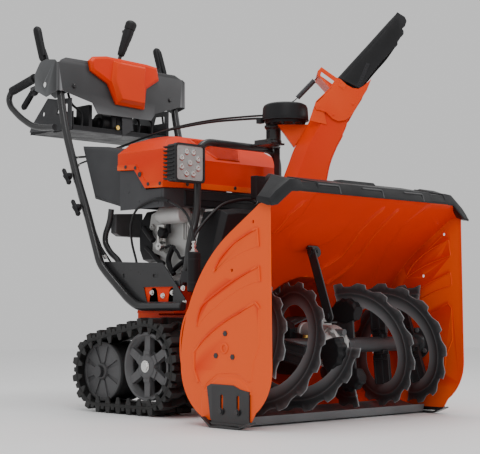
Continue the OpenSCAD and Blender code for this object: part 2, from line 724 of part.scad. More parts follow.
module track_frame() color(black) from_front() {
    both_sides() {
        difference() {
            across(-147.5, -142) polygon([[565, 112], [620, 112], [809, 92], [880, 100], [880, 134],
                [809, 142], [620, 168], [565, 168]]);
            x_disc(sprocket_axis, 14, -150, -140);
        }
        x_disc(idler_axis, 12, -290, -147.5);
        x_disc(idler_axis, 18, -158, -147.5);
        x_disc(idler_axis, 17, -294, -283);
    }
    rod([-142, 868, 117], [142, 868, 117], 9);
}

// ---------- handle frame ----------

handle_line = [[501, 305], [694, 305], [738, 326], [847, 409], [875, 435], [933, 573], [953, 618],
    [988, 688], [1054, 850], [1080, 950], [1092, 1036]];
module handle_tubes() color(black) from_front() both_sides()
    bent_bar([for (p = handle_line) [-tube_x, p[0], p[1]]], tube_r);

bracket_outline = [[897, 435], [870, 440], [603, 429], [507, 328], [507, 296], [700, 296], [752, 320],
    [860, 402]];
module frame_brackets() color(black) from_front() both_sides() difference() {
    across(-222, -218.2) polygon(bracket_outline);
    across(-230, -210) polygon([[559, 319], [673, 319], [673, 360], [559, 360]]);
    for (b = bracket_bolts) x_disc(b, 5, -230, -210);
}

loop_line = [[1100, 1030], [1187, 1038], [1284, 1018], [1334, 1008], [1351, 985], [1338, 958],
    [1282, 917], [1218, 884], [1168, 872], [1092, 866]];
loop_x = 250;
loop_r = 10;
function loop_point(i) = [-loop_x, loop_line[i][0], loop_line[i][1]];
module handle_loops() color(black) from_front() both_sides() {
    bent_bar([for (i = [0 : len(loop_line) - 1]) loop_point(i)], loop_r);
    across(-248, -241) polygon([[1192, 1030], [1200, 1029], [1200, 1012], [1231, 1008], [1230, 996],
        [1217, 996], [1192, 1012]]);
    x_disc(trigger_axis, 3, -242, -220);
}

module handle_grips() color(black) from_front() both_sides() difference() {
    rod([-loop_x, 1207, 1034], [-loop_x, 1320, 1010.7], 15.5);
    for (i = [1, 2]) rod(loop_point(i), loop_point(i + 1), loop_r + fit_gap);
    translate(loop_point(2)) sphere(r = loop_r + weld + fit_gap);
}

panel_outline = [
    [-250, 1072], [-231, 1085], [218, 1085], [250, 1072], [250, 979], [242, 979], [134, 945],
    [117, 921], [-105, 921],
    [-126, 953], [-242, 979], [-250, 979]
];
panel_flange = [[1070, 978], [1136, 965], [1181, 995], [1182, 1037], [1160, 1071], [1116, 1081],
    [1070, 1084]];
module console_panel() color(grey) from_front() {
    rearwards(1062, 1065) polygon(panel_outline);
    difference() {
        box([-217, 1065, 1079], [217, 1150, 1082]);
        box([-8, 1092, 1070], [28, 1128, 1090]);
    }
    both_sides() difference() {
        across(-220, -217) polygon(panel_flange);
        x_disc([1128, 1003], 9, -260, -210);
    }
    both_sides() x_disc(lever_axis, 4, -246, -217);
}

cover_face = [
    [-140, 1053], [-70, 1019], [-36, 957], [79, 952], [87, 1021], [140, 1055], [131, 1098],
    [87, 1103], [-79, 1108], [-132, 1100], [-148, 1085]
];
module console_cover() color(orange) from_front() {
    rearwards(1046, 1061.8) polygon(cover_face);
    rearwards(1034, 1046) polygon([[-44, 960], [-58, 1030], [-66, 1100], [68, 1096], [66, 1030],
        [70, 956]]);
}

module console_tray() color(black) from_front() {
    difference() {
        box([-195, 1072, 862], [195, 1176, 922]);
        box([-191, 1076, 866], [191, 1172, 930]);
    }
    both_sides() difference() {
        across(-202, -198) polygon([[1072, 962], [1156, 967], [1176, 913], [1176, 880], [1120, 864],
            [1072, 864]]);
        across(-210, -190) polygon([[1092, 946], [1138, 948], [1150, 918], [1092, 914]]);
    }
}

module cable_fittings() color(zinc) from_front() {
    translate([-235, 454, 345]) cylinder(h = 110, r = 18.5);
    translate([-235, 454, 455]) cylinder(h = 8, r = 12);
    translate([-235, 454, 463]) cylinder(h = 16.8, r = 5);
    box([-231, 470, 372], [-223, 512, 404]);
    both_sides() x_disc([1010, 705], 20, -268, -tube_x - tube_r);
    both_sides() x_disc([962, 606], 20, -268, -tube_x - tube_r - 1);
}

module control_cables() color(black) from_front() {
    cord(canister_cable, 3.5);
    cord(rotator_cable, 3.5);
    cord(deflector_cable, 3);
    cord(clutch_cable_right, 3.5);
    cord(clutch_cable_left, 3.5);
    cord(housing_cable, 4);
}

// ---------- controls ----------

module clutch_lever() {
    difference() {
        across(-244, -236) polygon([[1133, 1056], [1138, 1051], [1149, 1053], [1166, 1093],
            [1198, 1192], [1182, 1197], [1148, 1096]]);
        x_disc(lever_axis, 4 + fit_gap, -260, -230);
    }
    across(-262, -244) polygon([[1164, 1112], [1178, 1108], [1200, 1190], [1184, 1197]]);
}
module auger_lever() color(black) from_front() clutch_lever();
module drive_lever() color(black) from_front() mirror([1, 0, 0]) clutch_lever();

module steering_trigger() difference() {
    across(-240.6, -222) polygon([[1216, 1012], [1234, 1010], [1298, 956], [1288, 947], [1226, 986],
        [1214, 996]]);
    x_disc(trigger_axis, 3 + fit_gap, -250, -210);
}
module steering_trigger_right() color(black) from_front() steering_trigger();
module steering_trigger_left() color(black) from_front() mirror([1, 0, 0]) steering_trigger();

module joystick_gimbal() color(grey) from_front() translate(stick_pivot) difference() {
    rotate([0, 90, 0]) translate([0, 0, -24]) cylinder(h = 48, r = 6);
    rotate([90, 0, 0]) translate([0, 0, -20]) cylinder(h = 40, r = 3 + fit_gap);
    box([-8.5, -7, -10], [8.5, 7, 10]);
}

stick_top = [39, 1072, 1236];
stick_neck = [14, 1103, 1119];
stick_lean = 15;
trigger_root = stick_neck + 0.72 * (stick_top - stick_neck);
module joystick() color(black) from_front() {
    translate(stick_pivot) rotate([90, 0, 0]) translate([0, 0, -12]) cylinder(h = 24, r = 3);
    bent_bar([stick_pivot, stick_neck, stick_neck + 0.35 * (stick_top - stick_neck)], 5);
    rod(stick_neck + 0.3 * (stick_top - stick_neck), stick_top, 14);
    translate(stick_top) sphere(r = 16);
    // ears and pin for the trigger
    translate(trigger_root) rotate([stick_lean, 0, 0]) {
        for (x = [-8.5, 6.5]) box([x, 8, -1], [x + 2, 23, 7]);
        x_disc([20.7, 3], 1.5, -8, 8);
    }
}

module joystick_trigger() color(grey) from_front() translate(trigger_root)
    rotate([stick_lean, 0, 0]) difference() {
        box([-6, 18.5, -26], [6, 23, 8]);
        x_disc([20.7, 3], 1.5 + fit_gap, -10, 10);
    }

recoil_axis = [60, 560];
module recoil_handle() color(black) from_front() {
    box([recoil_axis[0] - 32, 826, recoil_axis[1] - 9], [recoil_axis[0] + 32, 844, recoil_axis[1] + 9]);
    y_disc(recoil_axis, 5, 816, 826);
}

// ---------- skid shoes ----------

module skid_shoe() difference() {
    union() {
        across(-390.5, -386) polygon([[76, 9], [76, 94], [108, 99], [132, 108], [214, 109], [214, 9]]);
        across(-398, -374) polygon([
            [69, 16], [107, 4], [125, 0], [195, 0], [212, 4], [242, 22], [241, 27], [208, 10], [107, 10],
            [71, 22]]);
    }
    box([-385.4, 60, 10.5], [-381.6, 250, 40]);
    for (b = skid_bolts) {
        box([-400, b[0] - 5, b[1]], [-380, b[0] + 5, b[1] + 37]);
        x_disc(b, 5, -400, -380);
        x_disc(b + [0, 37], 5, -400, -380);
    }
}
module skid_shoe_right() color(black) from_front() skid_shoe();
module skid_shoe_left() color(black) from_front() mirror([1, 0, 0]) skid_shoe();

auger_housing();
side_plate_right();
side_plate_left();
housing_trim();
scraper_bar();
auger_brace();
auger_gearcase();
auger_bearings();
fasteners();
chute_ring();
rotator_bracket();
rotator_cap();
belt_cover();
auger_belt();
chassis();
transmission();
engine_block();
carburettor();
discharge_housing();
starter_motor();
fuel_tank();
hood();
engine_shroud();
guard_tube();
handle_tubes();
frame_brackets();
handle_loops();
handle_grips();
console_panel();
console_cover();
console_tray();
control_cables();
cable_fittings();
auger_shaft();
auger_ribbons();
shear_bolts();
impeller();
impeller_pulley();
engine_pulley();
chute();
deflector();
deflector_cheeks();
deflector_spring();
auger_lever();
drive_lever();
steering_trigger_right();
steering_trigger_left();
joystick_gimbal();
joystick();
joystick_trigger();
lamp_head();
track_frame();
track_belts();
sprocket_right();
sprocket_left();
idler_right();
idler_left();
skid_shoe_right();
skid_shoe_left();
recoil_handle();
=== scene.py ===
import json
from math import asin, atan2, cos, degrees, pi, radians, sin

import bmesh
import bpy
from mathutils import Matrix, Vector


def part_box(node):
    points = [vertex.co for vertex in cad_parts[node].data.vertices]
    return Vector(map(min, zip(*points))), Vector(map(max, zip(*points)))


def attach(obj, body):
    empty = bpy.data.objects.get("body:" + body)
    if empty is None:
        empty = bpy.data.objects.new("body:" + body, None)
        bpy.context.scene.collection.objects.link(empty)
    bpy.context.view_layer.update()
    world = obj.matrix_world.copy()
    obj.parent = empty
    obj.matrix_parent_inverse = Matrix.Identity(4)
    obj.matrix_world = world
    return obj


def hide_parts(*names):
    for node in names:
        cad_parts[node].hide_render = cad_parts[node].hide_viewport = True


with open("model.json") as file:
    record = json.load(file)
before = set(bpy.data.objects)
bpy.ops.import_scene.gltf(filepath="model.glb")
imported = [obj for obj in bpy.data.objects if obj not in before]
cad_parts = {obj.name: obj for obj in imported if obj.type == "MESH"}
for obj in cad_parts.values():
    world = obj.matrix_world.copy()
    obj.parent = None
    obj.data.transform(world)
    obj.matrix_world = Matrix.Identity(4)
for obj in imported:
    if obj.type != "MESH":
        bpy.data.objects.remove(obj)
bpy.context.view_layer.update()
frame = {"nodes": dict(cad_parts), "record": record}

MM = 0.001
# Millimetre sizes below are counted back from the side plates' front edge, which the frame gives
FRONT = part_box("side_plate_right")[0].y - 3 * MM

CHUTE_X, CHUTE_Y = 70, 398      # the chute's axis
CHUTE_TURN = radians(46 - 90)   # its throw, from +X
AUGER = (165, 199)              # the augers' axis, as Y and Z
IMPELLER_Z = 235                # the height of the impeller's axis
BEARING_BOLTS = ((164, 236), (198, 180), (137, 178))
SKID_BOLTS_Y = (115, 174)


def at(x, y, z):
    """A point in millimetres behind the side plates' front edge, as a place in the frame in metres."""
    return Vector((x * MM, FRONT + y * MM, z * MM))


def in_chute(d, w, z):
    """A point given along the throw, across it and up, in the shared millimetre frame."""
    return (CHUTE_X + d * cos(CHUTE_TURN) - w * sin(CHUTE_TURN),
            CHUTE_Y + d * sin(CHUTE_TURN) + w * cos(CHUTE_TURN), z)


# ---------- shapes ----------

def polar(r, angle):
    """The flat vector of length r at an angle in degrees."""
    return Vector((r * cos(radians(angle)), r * sin(radians(angle))))


def arc(centre, r, a0, a1, n):
    """Points on an arc from angle a0 to a1, in degrees."""
    steps = [a0 + (a1 - a0) * i / n for i in range(n + 1)]
    return [(centre[0] + r * cos(radians(a)), centre[1] + r * sin(radians(a))) for a in steps]


def place(axis, h, u, v):
    """A point h along an axis and (u, v) across it."""
    return Vector({"x": (h, u, v), "y": (u, h, v), "z": (u, v, h)}[axis])


def spline(points, steps=6):
    """A smooth curve through the points, as a list of vectors."""
    p = [Vector(q) for q in points]
    out = []
    for i in range(len(p) - 1):
        a, b, c, d = p[max(i - 1, 0)], p[i], p[i + 1], p[min(i + 2, len(p) - 1)]
        for k in range(steps):
            t = k / steps
            out.append(0.5 * (2 * b + (c - a) * t + (2 * a - 5 * b + 4 * c - d) * t * t
                              + (3 * b - a - 3 * c + d) * t ** 3))
    return out + [p[-1]]


def filleted(points, radius, steps=6):
    """A polyline whose corners are rounded."""
    p = [Vector(q) for q in points]
    out = [p[0]]
    for a, b, c in zip(p, p[1:], p[2:]):
        reach = min(radius, 0.48 * (b - a).length, 0.48 * (c - b).length)
        s, e = b + (a - b).normalized() * reach, b + (c - b).normalized() * reach
        for k in range(steps + 1):
            t = k / steps
            out.append(s * (1 - t) ** 2 + b * 2 * t * (1 - t) + e * t * t)
    return out + [p[-1]]


class Shape:
    """A mesh that is put together from simple closed solids, in millimetres."""

    def __init__(self):
        self.verts = []
        self.faces = []

    def add(self, verts, faces):
        """Points and the faces between them, given as places in the list of points."""
        n = len(self.verts)
        self.verts += [Vector(v) for v in verts]
        self.faces += [[i + n for i in f] for f in faces]
        return self

    def rings(self, rings, closed=False):
        """Skin between rings of points: capped at both ends, or closed from the last ring to the first."""
        m = len(rings[0])
        n = len(rings)
        faces = []
        for i in range(n if closed else n - 1):
            a, b = i * m, (i + 1) % n * m
            faces += [[a + k, a + (k + 1) % m, b + (k + 1) % m, b + k] for k in range(m)]
        if not closed:
            faces += [list(range(m)), [(n - 1) * m + k for k in range(m)]]
        return self.add([v for ring in rings for v in ring], faces)

    def stacked(self, layers, axis, closed=False):
        """Skin between outlines, each given with where it lies along the axis."""
        return self.rings([[place(axis, h, *q) for q in outline] for outline, h in layers], closed=closed)

    def prism(self, outline, lo, hi, axis="x", end=None):
        """An outline pushed from lo to hi along an axis. end is the outline at hi, if it differs."""
        return self.stacked(((outline, lo), (end or outline, hi)), axis)

    def block(self, lo, hi):
        """A block between two opposite corners."""
        outline = [(lo[0], lo[1]), (hi[0], lo[1]), (hi[0], hi[1]), (lo[0], hi[1])]
        return self.prism(outline, lo[2], hi[2], "z")

    def blocks(self, *corners):
        """One block for each pair of low and high corners."""
        for lo, hi in corners:
            self.block(lo, hi)
        return self

    def sweep(self, path, section, up=(0.1, 0.2, 1), closed=False):
        """A section, given as (across, up) points, swept along a path."""
        p = [Vector(q) for q in path]
        rings = []
        side = Vector(up)
        n = len(p)
        for i in range(n):
            ahead = p[(i + 1) % n] if closed else p[min(i + 1, n - 1)]
            back = p[i - 1] if closed else p[max(i - 1, 0)]
            t = (ahead - back).normalized()
            side = (side - side.dot(t) * t).normalized()
            other = t.cross(side)
            rings.append([p[i] + other * a + side * b for a, b in section])
        return self.rings(rings, closed=closed)

    def tube(self, path, r, sides=16, closed=False):
        """A round bar along a path."""
        angles = [2 * pi * k / sides for k in range(sides)]
        section = [(r * cos(a), r * sin(a)) for a in angles]
        return self.sweep(path, section, up=(0.31, 0.52, 0.79), closed=closed)

    def lathe(self, profile, centre, axis="x", segments=48):
        """A closed outline of (along, radius) points turned about an axis through centre."""
        angles = [2 * pi * k / segments for k in range(segments)]
        return self.rings([[Vector(centre) + place(axis, h, r * cos(a), r * sin(a)) for h, r in profile]
                           for a in angles], closed=True)

    def disc(self, centre, r, length, axis="x", segments=40, chamfer=0.0):
        """A solid disc that starts at centre and runs for length along the axis."""
        s = length / abs(length)
        profile = [(0, r - chamfer), (s * chamfer, r), (length - s * chamfer, r), (length, r - chamfer)]
        if not chamfer:
            profile = [(0, r), (length, r)]
        angles = [2 * pi * k / segments for k in range(segments)]
        return self.rings([[Vector(centre) + place(axis, h, q * cos(a), q * sin(a)) for a in angles]
                           for h, q in profile])

    def hexagon(self, centre, r, length, axis="x"):
        """A bolt's or nut's head. r is to its corners."""
        return self.disc(centre, r, length, axis, segments=6)

    def moved(self, function):
        """Every point sent through a function."""
        self.verts = [Vector(function(*v)) for v in self.verts]
        return self

    def both_sides(self):
        """Adds the mirror image across X = 0."""
        n = len(self.verts)
        self.verts += [Vector((-v.x, v.y, v.z)) for v in self.verts]
        self.faces += [[i + n for i in reversed(f)] for f in self.faces]
        return self

    def mirrored(self):
        """A copy, mirrored across X = 0."""
        other = Shape()
        return other.add([(-v.x, v.y, v.z) for v in self.verts], [list(reversed(f)) for f in self.faces])


def for_side(side, *shapes):
    """Right-hand shapes as they are, or mirrored for the left."""
    return [shape.mirrored() for shape in shapes] if side == "left" else shapes


def new_object(name, shape):
    """A shape as an object, its doubled points merged and its faces turned outwards."""
    mesh = bpy.data.meshes.new(name)
    mesh.from_pydata([at(*v) for v in shape.verts], [], shape.faces)
    bm = bmesh.new()
    bm.from_mesh(mesh)
    bmesh.ops.remove_doubles(bm, verts=bm.verts, dist=1e-6)
    bmesh.ops.recalc_face_normals(bm, faces=bm.faces)
    bm.to_mesh(mesh)
    bm.free()
    obj = bpy.data.objects.new(name, mesh)
    bpy.context.scene.collection.objects.link(obj)
    return obj


def apply_modifiers(obj):
    """Bakes the object's modifiers into its mesh."""
    bpy.context.view_layer.update()
    evaluated = obj.evaluated_get(bpy.context.evaluated_depsgraph_get())
    mesh = bpy.data.meshes.new_from_object(evaluated)
    obj.modifiers.clear()
    obj.data = mesh


def combine(obj, other, operation, crosses_itself=False):
    """Cuts or intersects obj with another object, which is used up."""
    boolean = obj.modifiers.new("boolean", "BOOLEAN")
    boolean.operation = operation
    boolean.solver = "EXACT"
    boolean.use_self = crosses_itself
    boolean.object = other
    apply_modifiers(obj)
    bpy.data.objects.remove(other)


def round_edges(obj, width, segments, angle):
    """Rounds the edges that turn by more than an angle in degrees."""
    rounding = obj.modifiers.new("bevel", "BEVEL")
    rounding.width = width * MM
    rounding.segments = segments
    rounding.limit_method = "ANGLE"
    rounding.angle_limit = radians(angle)
    apply_modifiers(obj)


def finish(obj, body, slot, replaces, round_angle):
    """Shades it smooth up to an angle, gives it its slot's material and sets it riding on its body."""
    bm = bmesh.new()
    bm.from_mesh(obj.data)
    for face in bm.faces:
        face.smooth = True
    for edge in bm.edges:
        edge.smooth = len(edge.link_faces) == 2 and edge.calc_face_angle(0) < radians(round_angle)
    bm.to_mesh(obj.data)
    bm.free()
    obj.data.materials.clear()
    obj.data.materials.append(MATERIALS[slot])
    weighted = obj.modifiers.new("normals", "WEIGHTED_NORMAL")
    weighted.keep_sharp = True
    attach(obj, body)
    if replaces:
        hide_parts(*replaces)


def piece(name, shape, body, slot, replaces=(), bevel=0.8, cut=None, round_angle=42, segments=2):
    """A finished object made from a shape, less what cut takes away."""
    obj = new_object(name, shape)
    if cut is not None:
        combine(obj, new_object(name + "_cutter", cut), "DIFFERENCE", crosses_itself=True)
    if bevel:
        round_edges(obj, bevel, segments, 32)
    finish(obj, body, slot, replaces, round_angle)


# ---------- materials ----------

def surface(name, colour, rough, metal=0.0, coat=0.0, grain=0.0, grain_scale=900.0, edge_wear_and_highlight=0.0,
            edge_wear_and_highlight_colour=(0.3, 0.3, 0.3), patch=0.12, rough_spread=0.08, dirt=0.0, gloss=0.3):
    """Paint, plastic or metal: colour patches, roughness variation, fine grain, and convex edges lightened by
    pointiness: partly worn edges and partly a painted highlight along them.
    """
    mat = bpy.data.materials.new(name)
    mat.use_nodes = True
    tree = mat.node_tree
    node = tree.nodes.new
    link = tree.links.new
    shader = tree.nodes["Principled BSDF"]
    shader.inputs["Metallic"].default_value = metal
    shader.inputs["Coat Weight"].default_value = coat
    shader.inputs["Specular IOR Level"].default_value = gloss
    shader.inputs["Coat Roughness"].default_value = 0.1
    coords = node("ShaderNodeTexCoord")

    def noise(scale, detail):
        """A noise pattern that lies in the object's own space."""
        n = node("ShaderNodeTexNoise")
        n.inputs["Scale"].default_value = scale
        n.inputs["Detail"].default_value = detail
        link(coords.outputs["Object"], n.inputs["Vector"])
        return n.outputs["Fac"]

    def spread(fac, low, high, start=0.3, stop=0.7):
        """Stretches a factor from between start and stop to between low and high."""
        m = node("ShaderNodeMapRange")
        m.inputs["From Min"].default_value = start
        m.inputs["From Max"].default_value = stop
        m.inputs["To Min"].default_value = low
        m.inputs["To Max"].default_value = high
        link(fac, m.inputs["Value"])
        return m.outputs["Result"]

    def mixed(fac, a, b):
        """Mixes two colours, each a tuple or another node's output."""
        m = node("ShaderNodeMix")
        m.data_type = "RGBA"
        link(fac, m.inputs["Factor"])
        for socket, value in ((m.inputs[6], a), (m.inputs[7], b)):
            if isinstance(value, tuple):
                socket.default_value = (*value, 1)
            else:
                link(value, socket)
        return m.outputs[2]

    large = noise(7.0, 4.0)
    fine = noise(grain_scale, 3.0)
    dark = tuple(c * (1 - patch) for c in colour)
    light = tuple(min(1.0, c * (1 + patch)) for c in colour)
    colour_out = mixed(spread(large, 0.0, 1.0), dark, light)
    if dirt:
        spots = spread(noise(55.0, 6.0), 0.0, dirt, 0.52, 0.75)
        colour_out = mixed(spots, colour_out, (0.16, 0.13, 0.11))
    if edge_wear_and_highlight:
        # convex edges, found by pointiness, mix towards a lighter colour: a painted highlight along the
        # edges, and wear too on some materials
        geometry = node("ShaderNodeNewGeometry")
        edge = spread(geometry.outputs["Pointiness"], 0.0, edge_wear_and_highlight, 0.515, 0.60)
        colour_out = mixed(edge, colour_out, edge_wear_and_highlight_colour)
    link(colour_out, shader.inputs["Base Color"])
    link(spread(noise(24.0, 5.0), max(0.03, rough - rough_spread), min(1.0, rough + rough_spread)),
         shader.inputs["Roughness"])
    if grain:
        bump = node("ShaderNodeBump")
        bump.inputs["Strength"].default_value = grain
        bump.inputs["Distance"].default_value = 0.0004
        link(fine, bump.inputs["Height"])
        link(bump.outputs["Normal"], shader.inputs["Normal"])
    return mat


MATERIALS = {
    # the lighter orange that its edges and the side plates' thin edge tubes get is a painted highlight
    "orange_paint": surface("orange_paint", (0.72, 0.030, 0.0), 0.36, coat=0.06, grain=0.08, grain_scale=420,
                            patch=0.03, rough_spread=0.05, edge_wear_and_highlight=0.5, edge_wear_and_highlight_colour=(0.98, 0.17, 0.03),
                            gloss=0.12),
    "black_paint": surface("black_paint", (0.020, 0.020, 0.021), 0.34, coat=0.25, grain=0.2,
                           grain_scale=1400, edge_wear_and_highlight=0.35, edge_wear_and_highlight_colour=(0.06, 0.06, 0.065)),
    "dark_grey_paint": surface("dark_grey_paint", (0.030, 0.031, 0.033), 0.40, coat=0.1, grain=0.2,
                               grain_scale=1300, edge_wear_and_highlight=0.7, edge_wear_and_highlight_colour=(0.30, 0.31, 0.32)),
    # its lighter grey edges are painted highlights, such as along the trim's chamfers
    "black_plastic": surface("black_plastic", (0.012, 0.012, 0.013), 0.42, grain=0.4, grain_scale=1700,
                             edge_wear_and_highlight=0.4, edge_wear_and_highlight_colour=(0.06, 0.06, 0.065), gloss=0.16),
    "grey_plastic": surface("grey_plastic", (0.042, 0.043, 0.046), 0.48, grain=0.4, grain_scale=1700,
                            edge_wear_and_highlight=0.25, edge_wear_and_highlight_colour=(0.10, 0.10, 0.11)),
    "track_rubber": surface("track_rubber", (0.010, 0.010, 0.010), 0.55, grain=0.5, grain_scale=700,
                            edge_wear_and_highlight=0.4, edge_wear_and_highlight_colour=(0.05, 0.05, 0.05), dirt=0.08),
    "grip_rubber": surface("grip_rubber", (0.012, 0.012, 0.013), 0.55, grain=0.5, grain_scale=1500),
    "cable_sheath": surface("cable_sheath", (0.009, 0.009, 0.010), 0.36, grain=0.15, grain_scale=1500),
    "zinc": surface("zinc", (0.68, 0.68, 0.66), 0.28, metal=1.0, grain=0.2, grain_scale=1200, patch=0.2),
    "aluminium": surface("aluminium", (0.50, 0.50, 0.49), 0.46, metal=0.35, grain=0.7, grain_scale=800,
                         patch=0.15),
    "cast_iron": surface("cast_iron", (0.09, 0.09, 0.095), 0.48, metal=0.6, grain=0.8, grain_scale=600),
    "brass": surface("brass", (0.78, 0.52, 0.14), 0.3, metal=1.0, grain=0.2),
    "lamp_black": surface("lamp_black", (0.014, 0.014, 0.015), 0.38, metal=0.2, grain=0.4, grain_scale=1300,
                          edge_wear_and_highlight=0.3, edge_wear_and_highlight_colour=(0.10, 0.10, 0.10)),
    "wheel_plastic": surface("wheel_plastic", (0.062, 0.062, 0.064), 0.46, grain=0.4, grain_scale=1500,
                             edge_wear_and_highlight=0.35, edge_wear_and_highlight_colour=(0.14, 0.14, 0.145), dirt=0.06),
}


# ---------- camera, lights and floor ----------

def studio():
    """The camera, a pale world, four area lights and the floor."""
    scene = bpy.context.scene
    camera = bpy.data.cameras.new("camera")
    camera.lens = 96.97
    camera.sensor_width = 36
    eye = bpy.data.objects.new("camera", camera)
    eye.location = at(-2605.7, -2208.5, 291.5)
    eye.rotation_euler = (radians(93.73), 0, radians(-43.73))
    scene.collection.objects.link(eye)
    scene.camera = eye

    world = bpy.data.worlds.new("studio")
    world.use_nodes = True
    world.node_tree.nodes["Background"].inputs["Color"].default_value = (1.0, 1.0, 1.0, 1)
    world.node_tree.nodes["Background"].inputs["Strength"].default_value = 0.75
    scene.world = world

    def lamp(name, where, target, size, power):
        """A rectangular area light that points at target."""
        light = bpy.data.lights.new(name, "AREA")
        light.shape = "RECTANGLE"
        light.size, light.size_y = size
        light.energy = power
        obj = bpy.data.objects.new(name, light)
        obj.location = where
        obj.rotation_euler = (Vector(target) - Vector(where)).to_track_quat("-Z", "Y").to_euler()
        scene.collection.objects.link(obj)

    middle = (0, 0, 0.5)
    lamp("key", (-2.2, -2.9, 3.0), middle, (1.6, 1.6), 44)
    lamp("left", (-3.6, 0.8, 1.6), middle, (1.0, 2.6), 6)
    lamp("right", (2.8, -2.0, 1.8), middle, (1.0, 2.6), 16)
    lamp("top", (0.0, -0.3, 3.6), middle, (1.6, 1.6), 42)

    floor = Shape().block((-6000, -6000, -12), (6000, 6000, -0.5))
    obj = new_object("floor", floor)
    pale = bpy.data.materials.new("floor")
    pale.use_nodes = True
    pale.node_tree.nodes["Principled BSDF"].inputs["Base Color"].default_value = (0.9, 0.9, 0.9, 1)
    pale.node_tree.nodes["Principled BSDF"].inputs["Roughness"].default_value = 0.6
    obj.data.materials.append(pale)


# ---------- auger housing ----------

PLATE_OUT, PLATE_IN = 385, 382
PLATE = (arc((134, 150), 131, 180, 235, 8) + [(75, 18), (245, 18)] + arc((195, 152), 140, -66, 0, 9)
         + arc((-66, 150), 402, 2, 57, 22) + [(43, 556), (8, 556)])


def inward(outline, distance):
    """A closed outline moved towards its own middle side by a distance."""
    p = [Vector(q) for q in outline]
    area = sum(a.x * b.y - b.x * a.y for a, b in zip(p, p[1:] + p[:1]))
    turn = 1 if area > 0 else -1
    moved = []
    for i, q in enumerate(p):
        a = (q - p[i - 1]).normalized()
        b = (p[(i + 1) % len(p)] - q).normalized()
        na, nb = Vector((-a.y, a.x)) * turn, Vector((-b.y, b.x)) * turn
        middle = (na + nb).normalized()
        moved.append(tuple(q + middle * distance / max(0.5, middle.dot(na))))
    return moved


def raised(shape, outline, *steps):
    """A low panel on the right side plate's outer face. steps are the (height, inset) pairs of its edge."""
    layers = [(inward(outline, inset), -PLATE_OUT - height) for height, inset in steps]
    shape.stacked([(outline, -PLATE_OUT + 0.5)] + layers, "x")


def side_plate(side):
    """A side plate with its two pressed fins, the panel below them, the bearing's ring and two holes."""
    shape = Shape().prism(PLATE, -PLATE_OUT, -PLATE_IN)
    fins = []
    for upper, lower in (
            ([(50, 495), (91, 481), (139, 458), (182, 426), (207, 392)],
             [(45, 450), (68, 445), (115, 432), (163, 413), (206, 390)]),
            ([(45, 402), (109, 379), (163, 355), (219, 326), (256, 301), (273, 254)],
             [(41, 365), (98, 350), (148, 330), (203, 300), (240, 278), (268, 250)])):
        fins.append((spline(upper), spline(lower)))
    for upper, lower in fins:
        raised(shape, upper + lower[::-1], (1.4, 2))
    crest = [tuple(v) for v in spline([(56, 313), (127, 284), (188, 255), (243, 221), (281, 188)], 4)]
    panel = crest + [(281, 144), (265, 111), (243, 92), (232, 110), (194, 133), (157, 136), (115, 134),
                     (84, 116), (70, 119), (65, 163), (42, 208), (42, 300)]
    raised(shape, panel, (1.2, 1.5), (2.2, 5))
    raised(shape, [(246, 84), (240, 99), (194, 126), (157, 129), (115, 126), (80, 106), (68, 84)], (3.4, 6))
    raised(shape, [(221, 21), (256, 21), (256, 62), (250, 94), (228, 94), (221, 80)], (1.6, 4))
    ring = [(3.6, 8), (6.0, 9.5), (6.0, 11.5), (3.6, 13.5)]
    shape.lathe([(-PLATE_OUT - height, r) for height, r in ring], (0, AUGER[0] + 1, AUGER[1]), "x", 40)
    for edge in [upper + lower[::-1] for upper, lower in fins] + [panel]:
        shape.tube([(-PLATE_IN, *q) for q in edge], 1.9, 8, closed=True)
    # the crisp outer edges of the fins and the panel: thin tubes, which the paint's edge lightening turns
    # lighter orange as a painted highlight
    for edge in [lower[:1] + upper for upper, lower in fins] + [panel[-1:] + panel[:19]]:
        shape.tube([(-PLATE_OUT - 2.4, *q) for q in edge], 2.8, 12)
    cut = Shape()
    for y, z in ((67, 512), (143, 394)):
        cut.disc((-400, y, z), 4.4, 40)
    shape, cut = for_side(side, shape, cut)
    piece(f"side_plate_{side}_skin", shape, "frame", "orange_paint", [f"side_plate_{side}"], bevel=0.5,
          cut=cut, round_angle=50)


DRUM_R = 176.5


def drum_profile():
    """The drum's inner line from the scraper, up the back and forward to the trim.

    Returns its points, their normals and how far along the line each is.
    """
    line = arc(AUGER, DRUM_R, -80, 25, 40) + arc((-66, 150), 395, 30, 57, 26) + [(-7, 592)]
    corners = [Vector(q) for q in line]
    points = []
    for a, b in zip(corners, corners[1:]):
        n = max(1, int((b - a).length / 6))
        points += [a.lerp(b, k / n) for k in range(n)]
    points.append(corners[-1])
    lengths = [0.0]
    for a, b in zip(points, points[1:]):
        lengths.append(lengths[-1] + (b - a).length)
    normals = []
    for i in range(len(points)):
        ahead = (points[min(i + 1, len(points) - 1)] - points[max(i - 1, 0)]).normalized()
        normals.append(Vector((-ahead.y, ahead.x)))
    return points, normals, lengths


def ridge(t):
    """A smooth bump, one at t = 0 and nothing past t = 1."""
    return (1 + cos(pi * min(1.0, abs(t)))) / 2


# The pressed ribs, as points across the machine and along the drum from its top edge
RIBS = [[(65, 48), (58, 86), (61, 145), (79, 204), (83, 250), (59, 286), (33, 306)],
        [(128, 50), (127, 96), (135, 168), (156, 239), (154, 282), (130, 323), (96, 351)],
        [(-248, 47), (-258, 89), (-254, 133), (-255, 163)]]
RIB_DEPTH, RIB_REACH = 5.5, 10
PRESS_DEPTH = 2.4               # of the round pad and of the side sheets
PAD = Vector((-92, 145))
PAD_R, PAD_EDGE = 84, 16
SEAM_X, SEAM_S = 206, 98        # where the side sheets' seam bends


